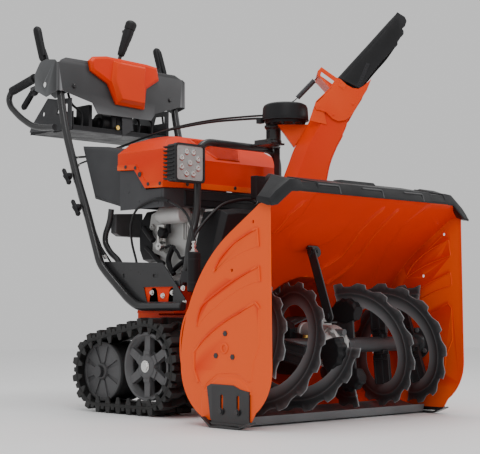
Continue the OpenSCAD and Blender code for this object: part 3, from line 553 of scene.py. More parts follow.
def drum_press(x, s):
    """How deep the drum's ribs, pad and side sheets are pressed, at x and a distance s from its top edge."""
    here = Vector((x, s))
    depth = 0.0
    for rib in RIBS:
        nearest = 99.0
        for a, b in zip(rib, rib[1:]):
            a, b = Vector(a), Vector(b)
            t = max(0.0, min(1.0, (here - a).dot(b - a) / (b - a).length_squared))
            nearest = min(nearest, (here - a.lerp(b, t)).length)
        depth = max(depth, RIB_DEPTH * ridge(nearest / RIB_REACH))
    outside = (here - PAD).length - PAD_R
    fade = min(1.0, max(0.0, (s - 90) / 80))
    depth += PRESS_DEPTH * ridge(max(0, outside) / PAD_EDGE) * fade
    slope = 0.33 if s > SEAM_S else -0.24
    seam = abs(x) - SEAM_X - slope * (s - SEAM_S)
    return depth + PRESS_DEPTH * min(1.0, max(0.0, seam / 4))


def drum_sheet():
    """The drum's bent and pressed sheet, between the side plates."""
    line, normals, lengths = drum_profile()
    columns, thickness, half = 180, 2.9, PLATE_IN - 0.3
    inner, outer = [], []
    for j in range(columns + 1):
        x = -half + 2 * half * j / columns
        for p, normal, s in zip(line, normals, lengths):
            front = p + normal * drum_press(x, lengths[-1] - s)
            back = p - normal * thickness
            # the trim's ends slope down, and the sheet stays under them
            ceiling = 590 - max(0, abs(x) - 322) * 0.62
            inner.append((x, front.x, min(front.y, ceiling)))
            outer.append((x, back.x, min(back.y, ceiling + 2)))
    m, n, last = len(line), len(inner), columns * len(line)
    faces = [[j * m + i, (j + 1) * m + i, (j + 1) * m + i + 1, j * m + i + 1]
             for j in range(columns) for i in range(m - 1)]
    shape = Shape().add(inner, faces).add(outer, faces)
    for start in (0, last):
        shape.faces += [[start + i, start + i + 1, n + start + i + 1, n + start + i] for i in range(m - 1)]
    shape.faces += [[j * m + e, (j + 1) * m + e, n + (j + 1) * m + e, n + j * m + e]
                    for j in range(columns) for e in (0, m - 1)]
    return shape


def auger_housing():
    """The drum with its hole for the impeller, and the impeller's tube with the duct under the chute."""
    hole = Shape().disc((0, 180, IMPELLER_Z), 151.9, 240, "y", 72)
    piece("auger_housing_drum", drum_sheet(), "frame", "orange_paint", ["auger_housing"], bevel=0, cut=hole)
    tube = Shape()
    tube.lathe([(250, 152), (250, 155), (452, 155), (455, 152), (455, 13.5), (452, 13.5), (452, 152)],
               (0, 0, IMPELLER_Z), "y", 72)
    tube.block((-15, 344, 388), (155, 455, 545))
    tube.block((-18, 312, 545), (158, 484, 551))
    tube.lathe([(551, 84), (566, 84), (566, 54), (551, 54)], (CHUTE_X, CHUTE_Y, 0), "z", 64)
    for x in (-8, 148):
        for y in (322, 398, 474):
            tube.disc((x, y, 551), 6, 5, "z", 6)
    line = drum_profile()[0]
    in_drum = [(-60, 18)] + [tuple(p) for p in line if p.y < 540] + [(-60, 547)]
    piece("impeller_housing", tube, "frame", "orange_paint", ["discharge_housing"], bevel=1.0,
          cut=Shape().prism(in_drum, -PLATE_IN, PLATE_IN))


def trim():
    """The plastic bumper along the housing's top edge, with its chamfered ends and stepped panels."""
    def section(x, top, low, back, depth):
        """The moulding's outline at x. depth is how far back it reaches."""
        k = depth / 110
        return [(x, -10.5, low), (x, -11.5, low + 6), (x, -8.5, top - 12), (x, -2, top),
                (x, 30 * k, top + 6 * k), (x, 98 * k, back), (x, 110 * k, back - 6), (x, 108 * k, back - 14),
                (x, 60 * k, low + 22 * k), (x, 20 * k, low + 8 * k), (x, -4, low + 2)]
    plain, sunk = (618, 588, 638, 110), (614, 588, 633, 110)
    half = [(0, plain), (230, plain), (232, sunk), (286, sunk), (288, plain), (300, plain),
            (304, (619, 587, 640, 104)), (326, (617, 586, 634, 66)), (376, (584, 550, 592, 48)),
            (396, (566, 546, 574, 44))]
    shape = Shape()
    shape.rings([section(-x, *s) for x, s in reversed(half[1:])] + [section(x, *s) for x, s in half])
    shape.rings([[(-60, 70, 630), (90, 70, 630), (110, 108, 634), (-60, 108, 634)],
                 [(-50, 76, 640.5), (84, 76, 640.5), (98, 100, 641), (-50, 100, 641)]])
    # the L-shaped ridges on the trim's face are a lighter grey than the moulding: painted highlight lines
    # along its chamfers
    ridges = Shape()
    for x in (-150, 20, 190):
        path = [(x - 78, -7.2, 611), (x - 4, -7.2, 611), (x, -8.6, 608), (x + 3, -10.9, 591)]
        ridges.tube(filleted(path, 4), 2.0, 8)
    piece("housing_trim_moulding", shape, "frame", "black_plastic", ["housing_trim"], bevel=1.4,
          round_angle=28)
    piece("housing_trim_ridges_painted_highlight", ridges, "frame", "wheel_plastic", bevel=0)


def skid_shoe(side):
    """A skid shoe: an upright plate with two slots, a turned-out front lip and the curved sole."""
    shape = Shape()
    shape.prism([(76, 14), (76, 94), (108, 99), (132, 108), (214, 109), (212, 14)], -390.4, -386)
    lip = [(214, 109), (229, 102), (216, 22), (208, 14), (208, 100)]
    shape.prism(lip, -390.4, -386, end=[(y - 4, z) for y, z in lip])
    shape.prism([(69, 20), (107, 6), (173, 8), (208, 5), (241, 26), (243, 23), (212, 0.4), (125, 0.2),
                 (107, 1.5), (68, 16)], -397.5, -374.5)
    shape.prism([(84, 14), (107, 8), (207, 8), (214, 14)], -394, -387)
    slots = Shape()
    for y in SKID_BOLTS_Y:
        slots.prism(arc((y, 79), 5, 0, 180, 8) + arc((y, 46), 5, 180, 360, 8), -400, -380)
    shape, slots = for_side(side, shape, slots)
    piece(f"skid_shoe_{side}_plate", shape, f"skid_{side}", "black_paint", [f"skid_shoe_{side}"], cut=slots)


def fasteners():
    """The bolts of the bearings and of the skid shoes, with their washers."""
    bolts = Shape()
    for y, z in BEARING_BOLTS:
        bolts.hexagon((-PLATE_OUT, y, z), 7.4, -4.5)
        bolts.disc((-PLATE_OUT, y, z), 7.9, -1.2)
    for y in SKID_BOLTS_Y:
        bolts.disc((-393.3, y, 42), 8.9, -1.5, chamfer=0.3)
        bolts.hexagon((-394.5, y, 42), 6.5, -3.4)
    piece("plate_bolts", bolts.both_sides(), "frame", "black_paint", ["fasteners"], bevel=0.4)


# ---------- chute ----------

def across_chute(shape, outline, w0, w1):
    """An outline of (along the throw, up) points, pushed across the throw from w0 to w1."""
    shape.rings([[in_chute(d, w, z) for d, z in outline] for w in (w0, w1)])


def chute():
    """The chute is a folded sheet: a back, two walls and rounded corners, opening forwards at the top."""
    half, fold, sheet = 75, 38, 2.6
    profile = [(640, -14, 104), (666, -10, 111), (712, 7, 121), (758, 24, 139), (794, 44, 158),
               (830, 64, 171), (858, 78, 160)]

    def section(z, back, front, inset):
        """The sheet's outline at a height, from its back to its front edge."""
        w, lo = half - inset, back + inset
        folds = [(front, w), (lo + fold, w), (lo + 2, w - fold + 4), (lo, w - fold - 2)]
        return [in_chute(d, -q, z) for d, q in folds] + [in_chute(d, q, z) for d, q in folds[::-1]]

    shape = Shape()
    levels = spline(profile, 4)
    shape.rings([section(*v, 0) + section(*v, sheet)[::-1] for v in levels])
    # rolled lips and flanges along the front edges of the walls
    for s in (-1, 1):
        shape.tube([in_chute(front + 1, s * (half - 2.5), z) for z, _, front in levels], 2.6, 10)
        flange = [in_chute(front + 1, s * (half - 6), z) for z, _, front in levels if z < 800]
        shape.sweep(flange, [(-5, -1.2), (5, -1.2), (5, 1.2), (-5, 1.2)], up=in_chute(1, 0, 0))
    # the collar and its flare from round to nearly square
    axis = (CHUTE_X, CHUTE_Y, 0)
    shape.lathe([(568, 74), (598, 74), (598, 71), (568, 71)], axis, "z", 64)
    shape.lathe([(575.4, 86), (579, 86), (581.4, 84), (581.4, 73), (575.4, 73)], axis, "z", 64)
    low_out, low_in, top_out, top_in = [], [], [], []
    for k in range(64):
        c, s = cos(2 * pi * k / 64), sin(2 * pi * k / 64)
        low_out.append(in_chute(74 * c, 74 * s, 597))
        low_in.append(in_chute(71 * c, 71 * s, 597))
        square = (abs(c) ** 5 + abs(s) ** 5) ** (-1 / 5)
        for ring, inset in ((top_out, 0), (top_in, sheet)):
            ring.append(in_chute(46 + (57 - inset) * c * square, (half - inset) * s * square, 641))
    shape.rings([low_out, top_out, top_in, low_in], closed=True)
    # the gusset under the rotator and the hinge lugs
    across_chute(shape, [(-22, 832), (70, 832), (66, 822), (36, 782), (25, 766)], -13, 13)
    lug = [(66, 834), (116, 822), (105, 877), (98, 880.5), (87, 880.5), (81, 876)]
    for s in (-1, 1):
        across_chute(shape, lug, s * 75.2, s * 78.3)
    piece("chute_sheet", shape, "chute_body", "orange_paint", ["chute"], bevel=0.6)


CHEEK = [(84, 886), (124, 922), (146, 956), (156, 951), (172, 936), (190, 926), (206, 924), (220, 932),
         (243, 952), (230, 920), (208, 885), (192, 856), (178, 840), (165, 833), (148, 831), (132, 838),
         (114, 856), (98, 862), (86, 864), (81, 874)]


def deflector_steel():
    """The steel cheeks of the deflector, the strap over the chute, the open arm and the hinge plates."""
    steel = Shape()
    for s in (-1, 1):
        across_chute(steel, CHEEK, s * 80.6, s * 83.4)
    across_chute(steel, [(84, 886), (86, 889.5), (124, 926), (144, 957), (146, 954.5), (127, 922),
                         (88, 884)],
                 -83.4, 83.4)
    # the open channel that the spring pulls on: two walls, a front and a floor
    wall = [(91, 977), (102, 991), (152, 955), (145, 945), (102, 977), (98, 963), (92, 966)]
    for w in (-60, 60):
        across_chute(steel, wall, w - 1.4, w + 1.4)
    across_chute(steel, [(91, 979), (102, 991), (104.4, 988.6), (93.4, 976.6)], -61, 61)
    across_chute(steel, [(92, 967), (127, 929), (131, 933), (96, 970)], -61, 61)
    for s in (-1, 1):
        across_chute(steel, [(155, 951), (172, 936), (165, 921), (149, 932)], s * 83, s * 85.4)
    for s in (-1, 1):
        for d, z in ((157, 941), (161, 930), (134, 850), (190, 880)):
            steel.tube([in_chute(d, s * 83.2, z), in_chute(d, s * 86.2, z)], 3.0, 12)
        steel.tube([in_chute(92, s * 70, 874), in_chute(92, s * 84.5, 874)], 5, 16)
    piece("deflector_steel", steel, "deflector_body", "orange_paint", ["deflector_cheeks"], bevel=0.6)


def deflector_moulding():
    """The black moulding: a tapering trough with rounded shoulders, an open mouth and a lip round it."""
    top_line = spline([(147.5, 958), (190, 1005), (240, 1060), (290, 1116), (319, 1147)], 4)
    low_line = spline([(212, 925), (236, 958), (270, 1000), (305, 1040), (334, 1082)], 4)

    def section(top, low, half, inset):
        """The trough's outline from the low edge over the top and down again, inset by the wall."""
        down = (low - top).normalized()
        w, r = half - inset, 17 - inset
        roof = top + down * inset
        middle = roof + down * ((top - low).length * 0.5)
        turns = [radians(18 * k) for k in range(6)]
        points = [(low, -w), (middle, -w)]
        points += [(roof + down * r * (1 - sin(a)), -w + r * (1 - cos(a))) for a in turns]
        points += [(roof + down * r * (1 - sin(a)), w - r * (1 - cos(a))) for a in reversed(turns)]
        points += [(middle, w), (low, w)]
        return [in_chute(q.x, v, q.y) for q, v in points]

    shape = Shape()
    rings = []
    last = len(top_line) - 1
    for i, (top, low) in enumerate(zip(top_line, low_line)):
        half = 80.2 - 4 * i / last
        rings.append(section(top, low, half, 0) + section(top, low, half, 4)[::-1])
    shape.rings(rings)
    lip = [(319, 1147), (341, 1133), (346, 1121), (341, 1106), (333, 1099), (337, 1092), (337, 1083),
           (330, 1075), (318, 1084), (312, 1136)]
    for s in (-1, 1):
        across_chute(shape, lip, s * 72, s * 76)
    across_chute(shape, [(316, 1143), (319, 1147), (338, 1135), (335, 1131)], -72, 72)
    # a ribbed strip down each wall
    for s in (-1, 1):
        across_chute(shape, [(201, 932), (212, 928), (240, 996), (229, 1000)], s * 77, s * 80.4)
        for k in range(9):
            share = 0.08 + 0.84 * k / 8
            d, z = 206.5 + 28 * share, 930 + 68 * share
            shape.tube([in_chute(d - 3.6, s * 80.3, z + 1.4), in_chute(d + 3.6, s * 80.3, z - 1.4)], 1.3, 8)
    piece("deflector_moulding", shape, "deflector_body", "black_plastic", ["deflector"], bevel=1.0,
          round_angle=50)


def deflector_spring():
    """The spring in its sleeve, with a hook at the arm and a wire down to the rotator."""
    spring = Shape()
    low, high, turns, per_turn = Vector((36, 912)), Vector((84, 962)), 18, 10
    spring.tube([in_chute(low.x, 0, low.y), in_chute(high.x, 0, high.y)], 6.8, 16)
    coil = []
    for k in range(turns * per_turn + 1):
        a = 2 * pi * k / per_turn
        q = low.lerp(high, k / (turns * per_turn))
        coil.append(in_chute(q.x - 4.9 * cos(a), 6.8 * sin(a), q.y + 4.9 * cos(a)))
    spring.tube(coil, 1.0, 6)
    for wire in ([(84, 962), (92, 970), (97, 976), (103, 977)],
                 [(36, 912), (26, 903), (18, 899), (14, 897)]):
        spring.tube(filleted([in_chute(d, 0, z) for d, z in wire], 4), 1.5, 8)
    piece("deflector_spring_sleeve", spring, "deflector_body", "grey_plastic", ["deflector_spring"], bevel=0)


def rotator():
    """The cap over the chute's drive and the bracket with the post that carries it."""
    cap = Shape()
    axis = (CHUTE_X, CHUTE_Y, 0)
    cap.lathe([(834, 20), (834, 58), (842, 60), (844, 66), (850, 67.5), (880, 65.5), (888, 62), (892.5, 54),
               (894.5, 40), (895.5, 1), (834, 1)], axis, "z", 72)
    cap.lathe([(843, 62), (843, 68.6), (846.5, 68.6), (846.5, 62)], axis, "z", 72)
    for k in range(10):
        a = 2 * pi * k / 10
        cap.disc((CHUTE_X + 52 * cos(a), CHUTE_Y + 52 * sin(a), 830), 5, 12, "z", 10)
    cap.block((8, 438, 836), (24, 456, 850))
    piece("rotator_cap_moulding", cap, "frame", "black_plastic", ["rotator_cap"])
    post = Shape()
    post.lathe([(783, 24), (790, 24), (793, 22), (822, 22), (828, 27), (835, 27), (835, 1), (783, 1)],
               (CHUTE_X, 446, 0), "z", 40)
    post.prism([(38, 424), (94, 424), (94, 482), (136, 482), (136, 509), (38, 509)], 777, 783, "z")
    post.block((132, 484, 640), (136, 506, 778))
    for x in (50, 86):
        post.block((x - 1.5, 440, 782), (x + 1.5, 505, 795))
    for y in (440, 444, 448, 452):
        post.block((CHUTE_X - 23.4, y, 796), (CHUTE_X + 23.4, y + 1.6, 820))
    piece("rotator_bracket_weldment", post, "frame", "black_paint", ["rotator_bracket"])


# ---------- augers and impeller ----------

RIBBON_R, RIBBON_IN, LEAD = 172, 110, 278
RIBBON_START, RIBBON_SWEEP = 66, 385
TOP = {1: 78, -1: 135}      # where the first ribbon passes the top, left and right
# The parts of an arm: from and to along X, half width, from and to outwards, sideways shift
ARM_PARTS = ((2, 6, 27, 18, 112, 0), (-1, 9, 4, 20, 108, 0), (-2, 10, 2, 30, 110, -25),
             (-2, 10, 2, 30, 110, 25), (-3, 11, 24, 40, 45, 0), (-6, 14, 16, 17, 27, 0))


def on_auger(x, r, angle):
    """A point at x, r out from the augers' axis at an angle in degrees."""
    return (x, AUGER[0] + r * cos(radians(angle)), AUGER[1] + r * sin(radians(angle)))


def auger_angle(side, x):
    """The first ribbon's angle about the shaft at x. side is 1 on the left and -1 on the right."""
    return 90 - (TOP[side] - RIBBON_START) / LEAD * 360 + (x - RIBBON_START) / LEAD * 360


def ribbon(shape, side, turn):
    """One serrated ribbon: flat-topped teeth, low gaps and a pressed line along the middle of its face."""
    per_tooth, middle = 12, 142
    step = 24 / per_tooth
    rings = []
    for i in range(int(RIBBON_SWEEP / step) + 1):
        x = RIBBON_START + LEAD * i * step / 360
        t = (i % per_tooth) / per_tooth
        drop = 0 if t < 0.36 else 1 if t < 0.72 else 1 - (t - 0.72) / 0.28
        r = RIBBON_R - 0.5 - 11 * drop
        section = [(RIBBON_IN, 0), (middle - 5, 0), (middle, -2.6), (middle + 5, 0), (r - 1.5, 0), (r, 1),
                   (r, 3), (r - 1.5, 4), (middle + 5, 4), (middle, 6.6), (middle - 5, 4), (RIBBON_IN, 4)]
        angle = auger_angle(side, RIBBON_START) + turn + i * step
        rings.append([on_auger(side * (x + q), p, angle) for p, q in section])
    shape.rings(rings)


def arm_block(shape, side, x, turn, lo, hi, across, r0, r1, shift=0):
    """A block on the auger: lo to hi along X, across wide about shift and r0 to r1 out."""
    a = radians(auger_angle(side, x + 3) + turn)
    out, along = Vector((cos(a), sin(a))), Vector((-sin(a), cos(a)))
    ring = []
    for end in (lo, hi):
        for r, w in ((r0, -across), (r1, -across), (r1, across), (r0, across)):
            q = Vector(AUGER) + out * r + along * (w + shift)
            ring.append((side * end, q.x, q.y))
    shape.rings([ring[:4], ring[4:]])


def saddle(shape, side, turn):
    """The curved, ribbed block that carries a ribbon's inner end."""
    rings = []
    for k in range(21):
        t = k / 20
        a = auger_angle(side, 75) + turn - 26 + 52 * t
        low, high = 74 - 14 * sin(pi * t), 112 + 16 * sin(pi * t) + 2.2 * sin(10 * pi * t)
        middle = (low + high) / 2
        section = [(60, middle), (61, high - 8), (68, high), (86, high), (95, high - 10), (97, middle),
                   (93, low), (70, low)]
        rings.append([on_auger(side * x, r, a) for x, r in section])
    shape.rings(rings)


def augers():
    """The shaft with its two tubes, two ribbons a side on their arms, the saddles and the shear bolts."""
    ribbons, steel, arms, saddles, bolts = Shape(), Shape(), Shape(), Shape(), Shape()
    steel.disc((-382.8, *AUGER), 15, 765.6)
    tube = [(60, 15), (60, 21), (61, 22), (80, 22), (81, 21), (350, 21), (351, 22), (352, 21), (352, 15)]
    for side in (1, -1):
        steel.lathe([(side * h, r) for h, r in tube], (0, *AUGER), "x", 40)
        for turn in (0, 180):
            ribbon(ribbons, side, turn)
            for x in (210, 338):
                for lo, hi, *rest in ARM_PARTS:
                    arm_block(arms, side, x, turn, x + lo, x + hi, *rest)
            arm_block(arms, side, 72, turn, 72, 80, 24, 18, 112)
            saddle(saddles, side, turn)
        for x in (95, 315):
            for up in (1, -1):
                z = AUGER[1] + up * 22
                bolts.disc((side * x, AUGER[0], z), 8, up * 1.8, "z")
                bolts.hexagon((side * x, AUGER[0], z + up * 1.6), 7, up * 6, "z")
    piece("auger_ribbons_serrated", ribbons, "auger", "dark_grey_paint", ["auger_ribbons"], bevel=0,
          round_angle=30)
    piece("auger_shaft_tubes", steel, "auger", "cast_iron", ["auger_shaft"])
    piece("auger_arms", arms, "auger", "black_paint", bevel=1.0)
    piece("auger_paddles", saddles, "auger", "black_plastic", bevel=1.6)
    piece("auger_shear_bolts", bolts, "auger", "brass", ["shear_bolts"], bevel=0.4)


def gearcase():
    """The gearcase between the augers, with its bolted rims, ribs and the worm shaft's neck."""
    case = Shape()
    case.lathe([(-47, 15.2), (-47, 24), (-44, 27), (-36, 30), (-28, 38), (-26, 41), (-26, 54), (-24, 56),
                (-17, 56), (-15, 52), (-10, 50), (2, 50), (7, 52), (9, 56), (16, 56), (18, 54), (18, 41),
                (20, 37), (28, 30), (34, 27), (37, 24), (37, 15.2)], (0, *AUGER), "x", 64)
    case.lathe([(186, 10), (186, 40), (208, 33), (214, 27), (250, 24), (252, 27), (260, 27), (262, 25),
                (262, 10)],
               (0, 0, IMPELLER_Z), "y", 48)
    for a in (200, 235, 270, 305, 340, 165, 130):
        y, z = on_auger(0, 49, a)[1:]
        case.disc((-26, y, z), 7, -3, chamfer=0.8)
        case.hexagon((-29, y, z), 4.6, -4)
        case.disc((18, y, z), 7, 3, chamfer=0.8)
    for k in range(8):
        a = 45 * k + 20
        rib = [on_auger(-43, 25, a), on_auger(-27, 50, a), on_auger(-25, 53, a)]
        case.sweep(rib, [(-1.6, -2), (1.6, -2), (1.6, 2), (-1.6, 2)], up=(1, 0, 0))
    piece("gearcase_casting", case, "frame", "aluminium", ["auger_gearcase"], bevel=0.6)


def auger_brace():
    """The round-ended bar from the gearcase up to the drum, with its foot, bolts and the tab behind it."""
    brace = Shape()
    foot, top = Vector((129, 277)), Vector((158, 450))
    along = (top - foot).normalized()
    side = Vector((along.y, -along.x))
    outline = []
    for centre, start in ((top, 0), (foot, 180)):
        for k in range(13):
            a = radians(start + 180 * k / 12)
            outline.append(tuple(centre + along * 14 * sin(a) + side * 14 * cos(a)))
    brace.prism(outline, -42.5, -37.5)
    brace.block((-46, 118, 260), (-20, 142, 264))
    for y, z in (tuple(top), (129, 279)):
        brace.disc((-42.5, y, z), 11, -1.6, chamfer=0.4)
        brace.hexagon((-44, y, z), 7.5, -5)
    brace.block((-47, 146, 457), (-37, 169, 462))
    brace.prism([(-47, 436)] + arc((-16, 452), 15, -90, 90, 10) + [(-47, 467)], 160, 164, "y")
    brace.disc((-16, 160, 452), 9, -2.4, "y", chamfer=0.5)
    brace.hexagon((-16, 157.6, 452), 5, -3, "y")
    # the bar leans to the right above its foot
    brace.moved(lambda x, y, z: (x - 0.21 * max(0, z - 277), y, z))
    piece("brace_bar", brace, "frame", "black_paint", ["auger_brace"])


def scraper_and_bearings():
    """The scraper along the drum's lower edge, and the flanged bearings inside the side plates."""
    band = arc(AUGER, 175.6, -100, -68, 12) + [(232, 34), (214, 5), (196, 4), (140, 4)]
    piece("scraper_edge", Shape().prism(band, -372, 372), "frame", "dark_grey_paint", ["scraper_bar"],
          bevel=1.2)
    bearings = Shape()
    bearings.lathe([(-382, 15.2), (-382, 44), (-380, 46), (-379.4, 40), (-378, 30), (-374, 26), (-373, 24),
                    (-373, 15.2)], (0, *AUGER), "x", 48)
    for y, z in BEARING_BOLTS:
        bearings.hexagon((-380.4, y, z), 7, 4.4)
    piece("bearing_flanges", bearings.both_sides(), "frame", "dark_grey_paint", ["auger_bearings"],
          bevel=0.5)


# The parts of an impeller blade: (outwards, along the turn) points, and where it starts and ends in Y
BLADE = (([(24, -2), (128, -2), (146.5, 7), (147.8, 10.4), (144.5, 11.2), (127, 2), (24, 2)], 352, 440),
         ([(40, 2), (112, 2), (112, 15), (104, 17), (60, 17), (40, 8)], 436.5, 440),
         ([(60, -2), (100, -2), (100, -3.6), (60, -3.6)], 380, 420))


def impeller():
    """The impeller's shaft, hub and back disc, and its five blades."""
    fan = Shape()
    centre = (0, 0, IMPELLER_Z)
    fan.disc((0, 110, IMPELLER_Z), 9, 153, "y")
    fan.disc((0, 262.5, IMPELLER_Z), 12.5, 283, "y")
    fan.lathe([(348, 12), (348, 24), (350, 26), (444, 26), (446, 24), (446, 12)], centre, "y")
    fan.lathe([(441, 20), (441, 118), (444, 118), (444, 20)], centre, "y", 60)
    for k in range(5):
        a = radians(72 * k)
        out, along = Vector((sin(a), cos(a))), Vector((cos(a), -sin(a)))
        for points, start, end in BLADE:
            outline = [tuple(Vector((0, IMPELLER_Z)) + out * r + along * w) for r, w in points]
            fan.prism(outline, start, end, "y")
    piece("impeller_fan", fan, "impeller_rotor", "dark_grey_paint", ["impeller"])


# ---------- tracks ----------

SPROCKET, IDLER = Vector((590, 138)), Vector((809, 117))
BELT_T, LUGS = 10, 24
BIG_R, SMALL_R = 120, 99        # of the belt's outer face round the sprocket and round the idler
SPAN = (IDLER - SPROCKET).length
TILT = atan2(IDLER.y - SPROCKET.y, IDLER.x - SPROCKET.x)


def belt_path():
    """The belt's length and a function giving the point and outward angle a distance along it."""
    lean = degrees(asin((BIG_R - SMALL_R) / SPAN))
    run = SPAN * cos(radians(lean))
    small, big = SMALL_R * radians(180 - 2 * lean), BIG_R * radians(180 + 2 * lean)
    idler = Vector((SPAN, 0))

    def where(s):
        """The round of the belt is the top run, the idler's end, the bottom run and the sprocket's end."""
        s %= 2 * run + small + big
        if s < run:
            a = 90 - lean
            return polar(BIG_R, a) + s * polar(1, -lean), a
        if s < run + small:
            a = 90 - lean - degrees((s - run) / SMALL_R)
            return idler + polar(SMALL_R, a), a
        if s < 2 * run + small:
            a = lean - 90
            return idler + polar(SMALL_R, a) - (s - run - small) * polar(1, lean), a
        a = lean - 90 - degrees((s - 2 * run - small) / BIG_R)
        return polar(BIG_R, a), a
    return 2 * run + small + big, where


def chassis():
    """The folded chassis between the tracks, with its flanges and seat plates."""
    shape, cut = Shape(), Shape()
    shape.blocks(((-140, 556, 82), (140, 812, 286)), ((-218, 556, 286), (218, 718, 363)),
                 ((-140, 718, 286), (140, 790, 363)), ((-218, 556, 360), (218, 566, 367)),
                 ((-218, 708, 286), (218, 720, 292)))
    for s in (-1, 1):
        shape.block((min(s * 150, s * 131), 470, 100), (max(s * 150, s * 131), 556, 300))
        for y in (590, 640, 690):
            shape.disc((s * 218, y, 300), 8, s * 2.4, chamfer=0.6)
    cut.blocks(((-137, 559, 70), (137, 809, 283)), ((-215, 559, 280), (215, 715, 370)),
               ((-137, 700, 280), (137, 787, 370)))
    cut.disc((-160, 600, 120), 16, 320)
    piece("chassis_weldment", shape, "frame", "orange_paint", ["chassis"], bevel=1.2, cut=cut)


def track_belts():
    """The two belts with their chevron lugs outside and their drive fins inside."""
    length, where = belt_path()
    turn = Matrix.Rotation(TILT, 2)
    pitch = length / LUGS

    def point(x, s, out):
        """A point at x, s along the belt and out from its outer face."""
        p, a = where(s)
        q = turn @ (p + polar(1, a) * out) + SPROCKET
        return (x, q.x, q.y)
    section = [(-299, -2), (-298, 0), (-238, 0), (-236, -1.5), (-214, -1.5), (-212, 0), (-152, 0),
               (-151, -2), (-151, -8), (-153, -BELT_T), (-297, -BELT_T), (-299, -8)]
    shape = Shape()
    shape.rings([[point(x, length * i / 240, out) for x, out in section] for i in range(240)], closed=True)

    def lug(s, x0, x1, shift0, shift1, height, foot, tip):
        """A lug from x0 to x1 whose middle shifts along the belt, tapering from foot to tip."""
        rings = []
        for half, out in ((foot, -3), (tip, height)):
            corners = ((x0, shift0 - half), (x0, shift0 + half), (x1, shift1 + half), (x1, shift1 - half))
            rings.append([point(x, s + shift, out) for x, shift in corners])
        shape.rings(rings)
    for i in range(LUGS):
        s = i * pitch
        lug(s, -298, -264, 0, 0, 17, 12, 8)
        lug(s, -266, -228, 0, pitch * 0.42, 17, 10, 6)
        lug(s, -222, -184, pitch * 0.42, 0, 17, 10, 6)
        lug(s, -186, -152, 0, 0, 17, 12, 8)
        lug(s + pitch / 2, -298.6, -280, 0, 0, 8, 8, 6)
        lug(s + pitch / 2, -170, -151.4, 0, 0, 8, 8, 6)
        # drive fins on the inside, by the outer edge
        fin = [(s - 12, -BELT_T + 1), (s + 12, -BELT_T + 1), (s + 5, -BELT_T - 19), (s - 5, -BELT_T - 19)]
        shape.rings([[point(x, q, out) for q, out in fin] for x in (-298.4, -293.4)])
    piece("track_belts_moulded", shape.both_sides(), "carriage", "track_rubber", ["track_belts"], bevel=1.2)


def on_wheel(centre, a, points):
    """An outline of (outwards, along the turn) points, turned by a radians about a wheel's centre."""
    out, along = Vector((cos(a), sin(a))), Vector((-sin(a), cos(a)))
    return [tuple(centre + out * r + along * w) for r, w in points]


def spoke(shape, centre, x, a, r0, r1, w0, w1, depth):
    """A spoke standing out of a wheel's face, tapering from half width w0 to w1."""
    shape.prism(on_wheel(centre, a, ((r0, -w0), (r1, -w1), (r1, w1), (r0, w0))), x, x + depth)


def sprocket(side):
    """A drive wheel: rim, disc with six windows, six spokes, hub and eleven teeth, and its nut."""
    wheel, cut, nut = Shape(), Shape(), Shape()
    centre = (0, *SPROCKET)
    wheel.lathe([(-292, 88), (-292, 95), (-290, 96), (-272, 96), (-268, 90), (-182, 90), (-178, 96),
                 (-166, 96), (-165, 94), (-165, 86), (-270, 84), (-276, 78), (-284, 82)], centre, "x", 72)
    wheel.lathe([(-276, 30), (-276, 84), (-270, 84), (-270, 30)], centre, "x", 60)
    wheel.lathe([(-294, 12), (-294, 28), (-291, 33), (-278, 37), (-270, 37), (-160, 30), (-160, 12)], centre,
                "x", 48)
    for k in range(6):
        a = radians(60 * k + 30)
        spoke(wheel, SPROCKET, -287, a, 22, 89, 12.5, 11, 14)
        spoke(wheel, SPROCKET, -290, a, 22, 44, 15, 12, 6)
    for k in range(11):
        tooth = ((86, -10), (106.5, -5), (106.5, 5), (86, 10))
        wheel.prism(on_wheel(SPROCKET, 2 * pi * k / 11 + radians(10), tooth), -245, -205)
    window = ((42, -10), (72, -27), (76, -14), (78, 0), (76, 14), (72, 27), (42, 10))
    for k in range(6):
        cut.prism(on_wheel(SPROCKET, radians(60 * k), window), -300, -262)
    wheel.disc((-160, *SPROCKET), 12.5, 136)
    nut.disc((-294, *SPROCKET), 17, -1.6, chamfer=0.4)
    nut.hexagon((-295, *SPROCKET), 12.5, -3)
    wheel, cut, nut = for_side(side, wheel, cut, nut)
    body = f"drive_wheel_{side}"
    piece(f"sprocket_{side}_wheel", wheel, body, "wheel_plastic", [f"sprocket_{side}"], bevel=1.0, cut=cut)
    piece(f"sprocket_{side}_nut", nut, body, "zinc", bevel=0.4)


def idler(side):
    """An idler wheel with eight spokes, and the bolt that holds it on the carriage."""
    wheel, bolt = Shape(), Shape()
    centre = (0, *IDLER)
    wheel.lathe([(-276, 78), (-276, 85), (-274, 87), (-264, 87), (-260, 80), (-187, 80), (-184, 87),
                 (-173, 87), (-172, 85), (-172, 76), (-262, 75), (-270, 75)], centre, "x", 64)
    wheel.lathe([(-270, 20), (-270, 77), (-266, 77), (-266, 20)], centre, "x", 60)
    wheel.lathe([(-282, 12.2), (-282, 20), (-280, 23), (-268, 26), (-160, 24), (-160, 12.2)], centre, "x",
                40)
    for k in range(8):
        spoke(wheel, IDLER, -273.6, radians(45 * k), 22, 79, 6, 24, 6)
    bolt.disc((-283, *IDLER), 17, -2, chamfer=0.5)
    bolt.hexagon((-285, *IDLER), 12, -8)
    wheel, bolt = for_side(side, wheel, bolt)
    piece(f"idler_{side}_wheel", wheel, f"idler_wheel_{side}", "wheel_plastic", [f"idler_{side}"])
    piece(f"idler_{side}_bolt", bolt, "carriage", "zinc", bevel=0.4)


# ---------- engine and its covers ----------

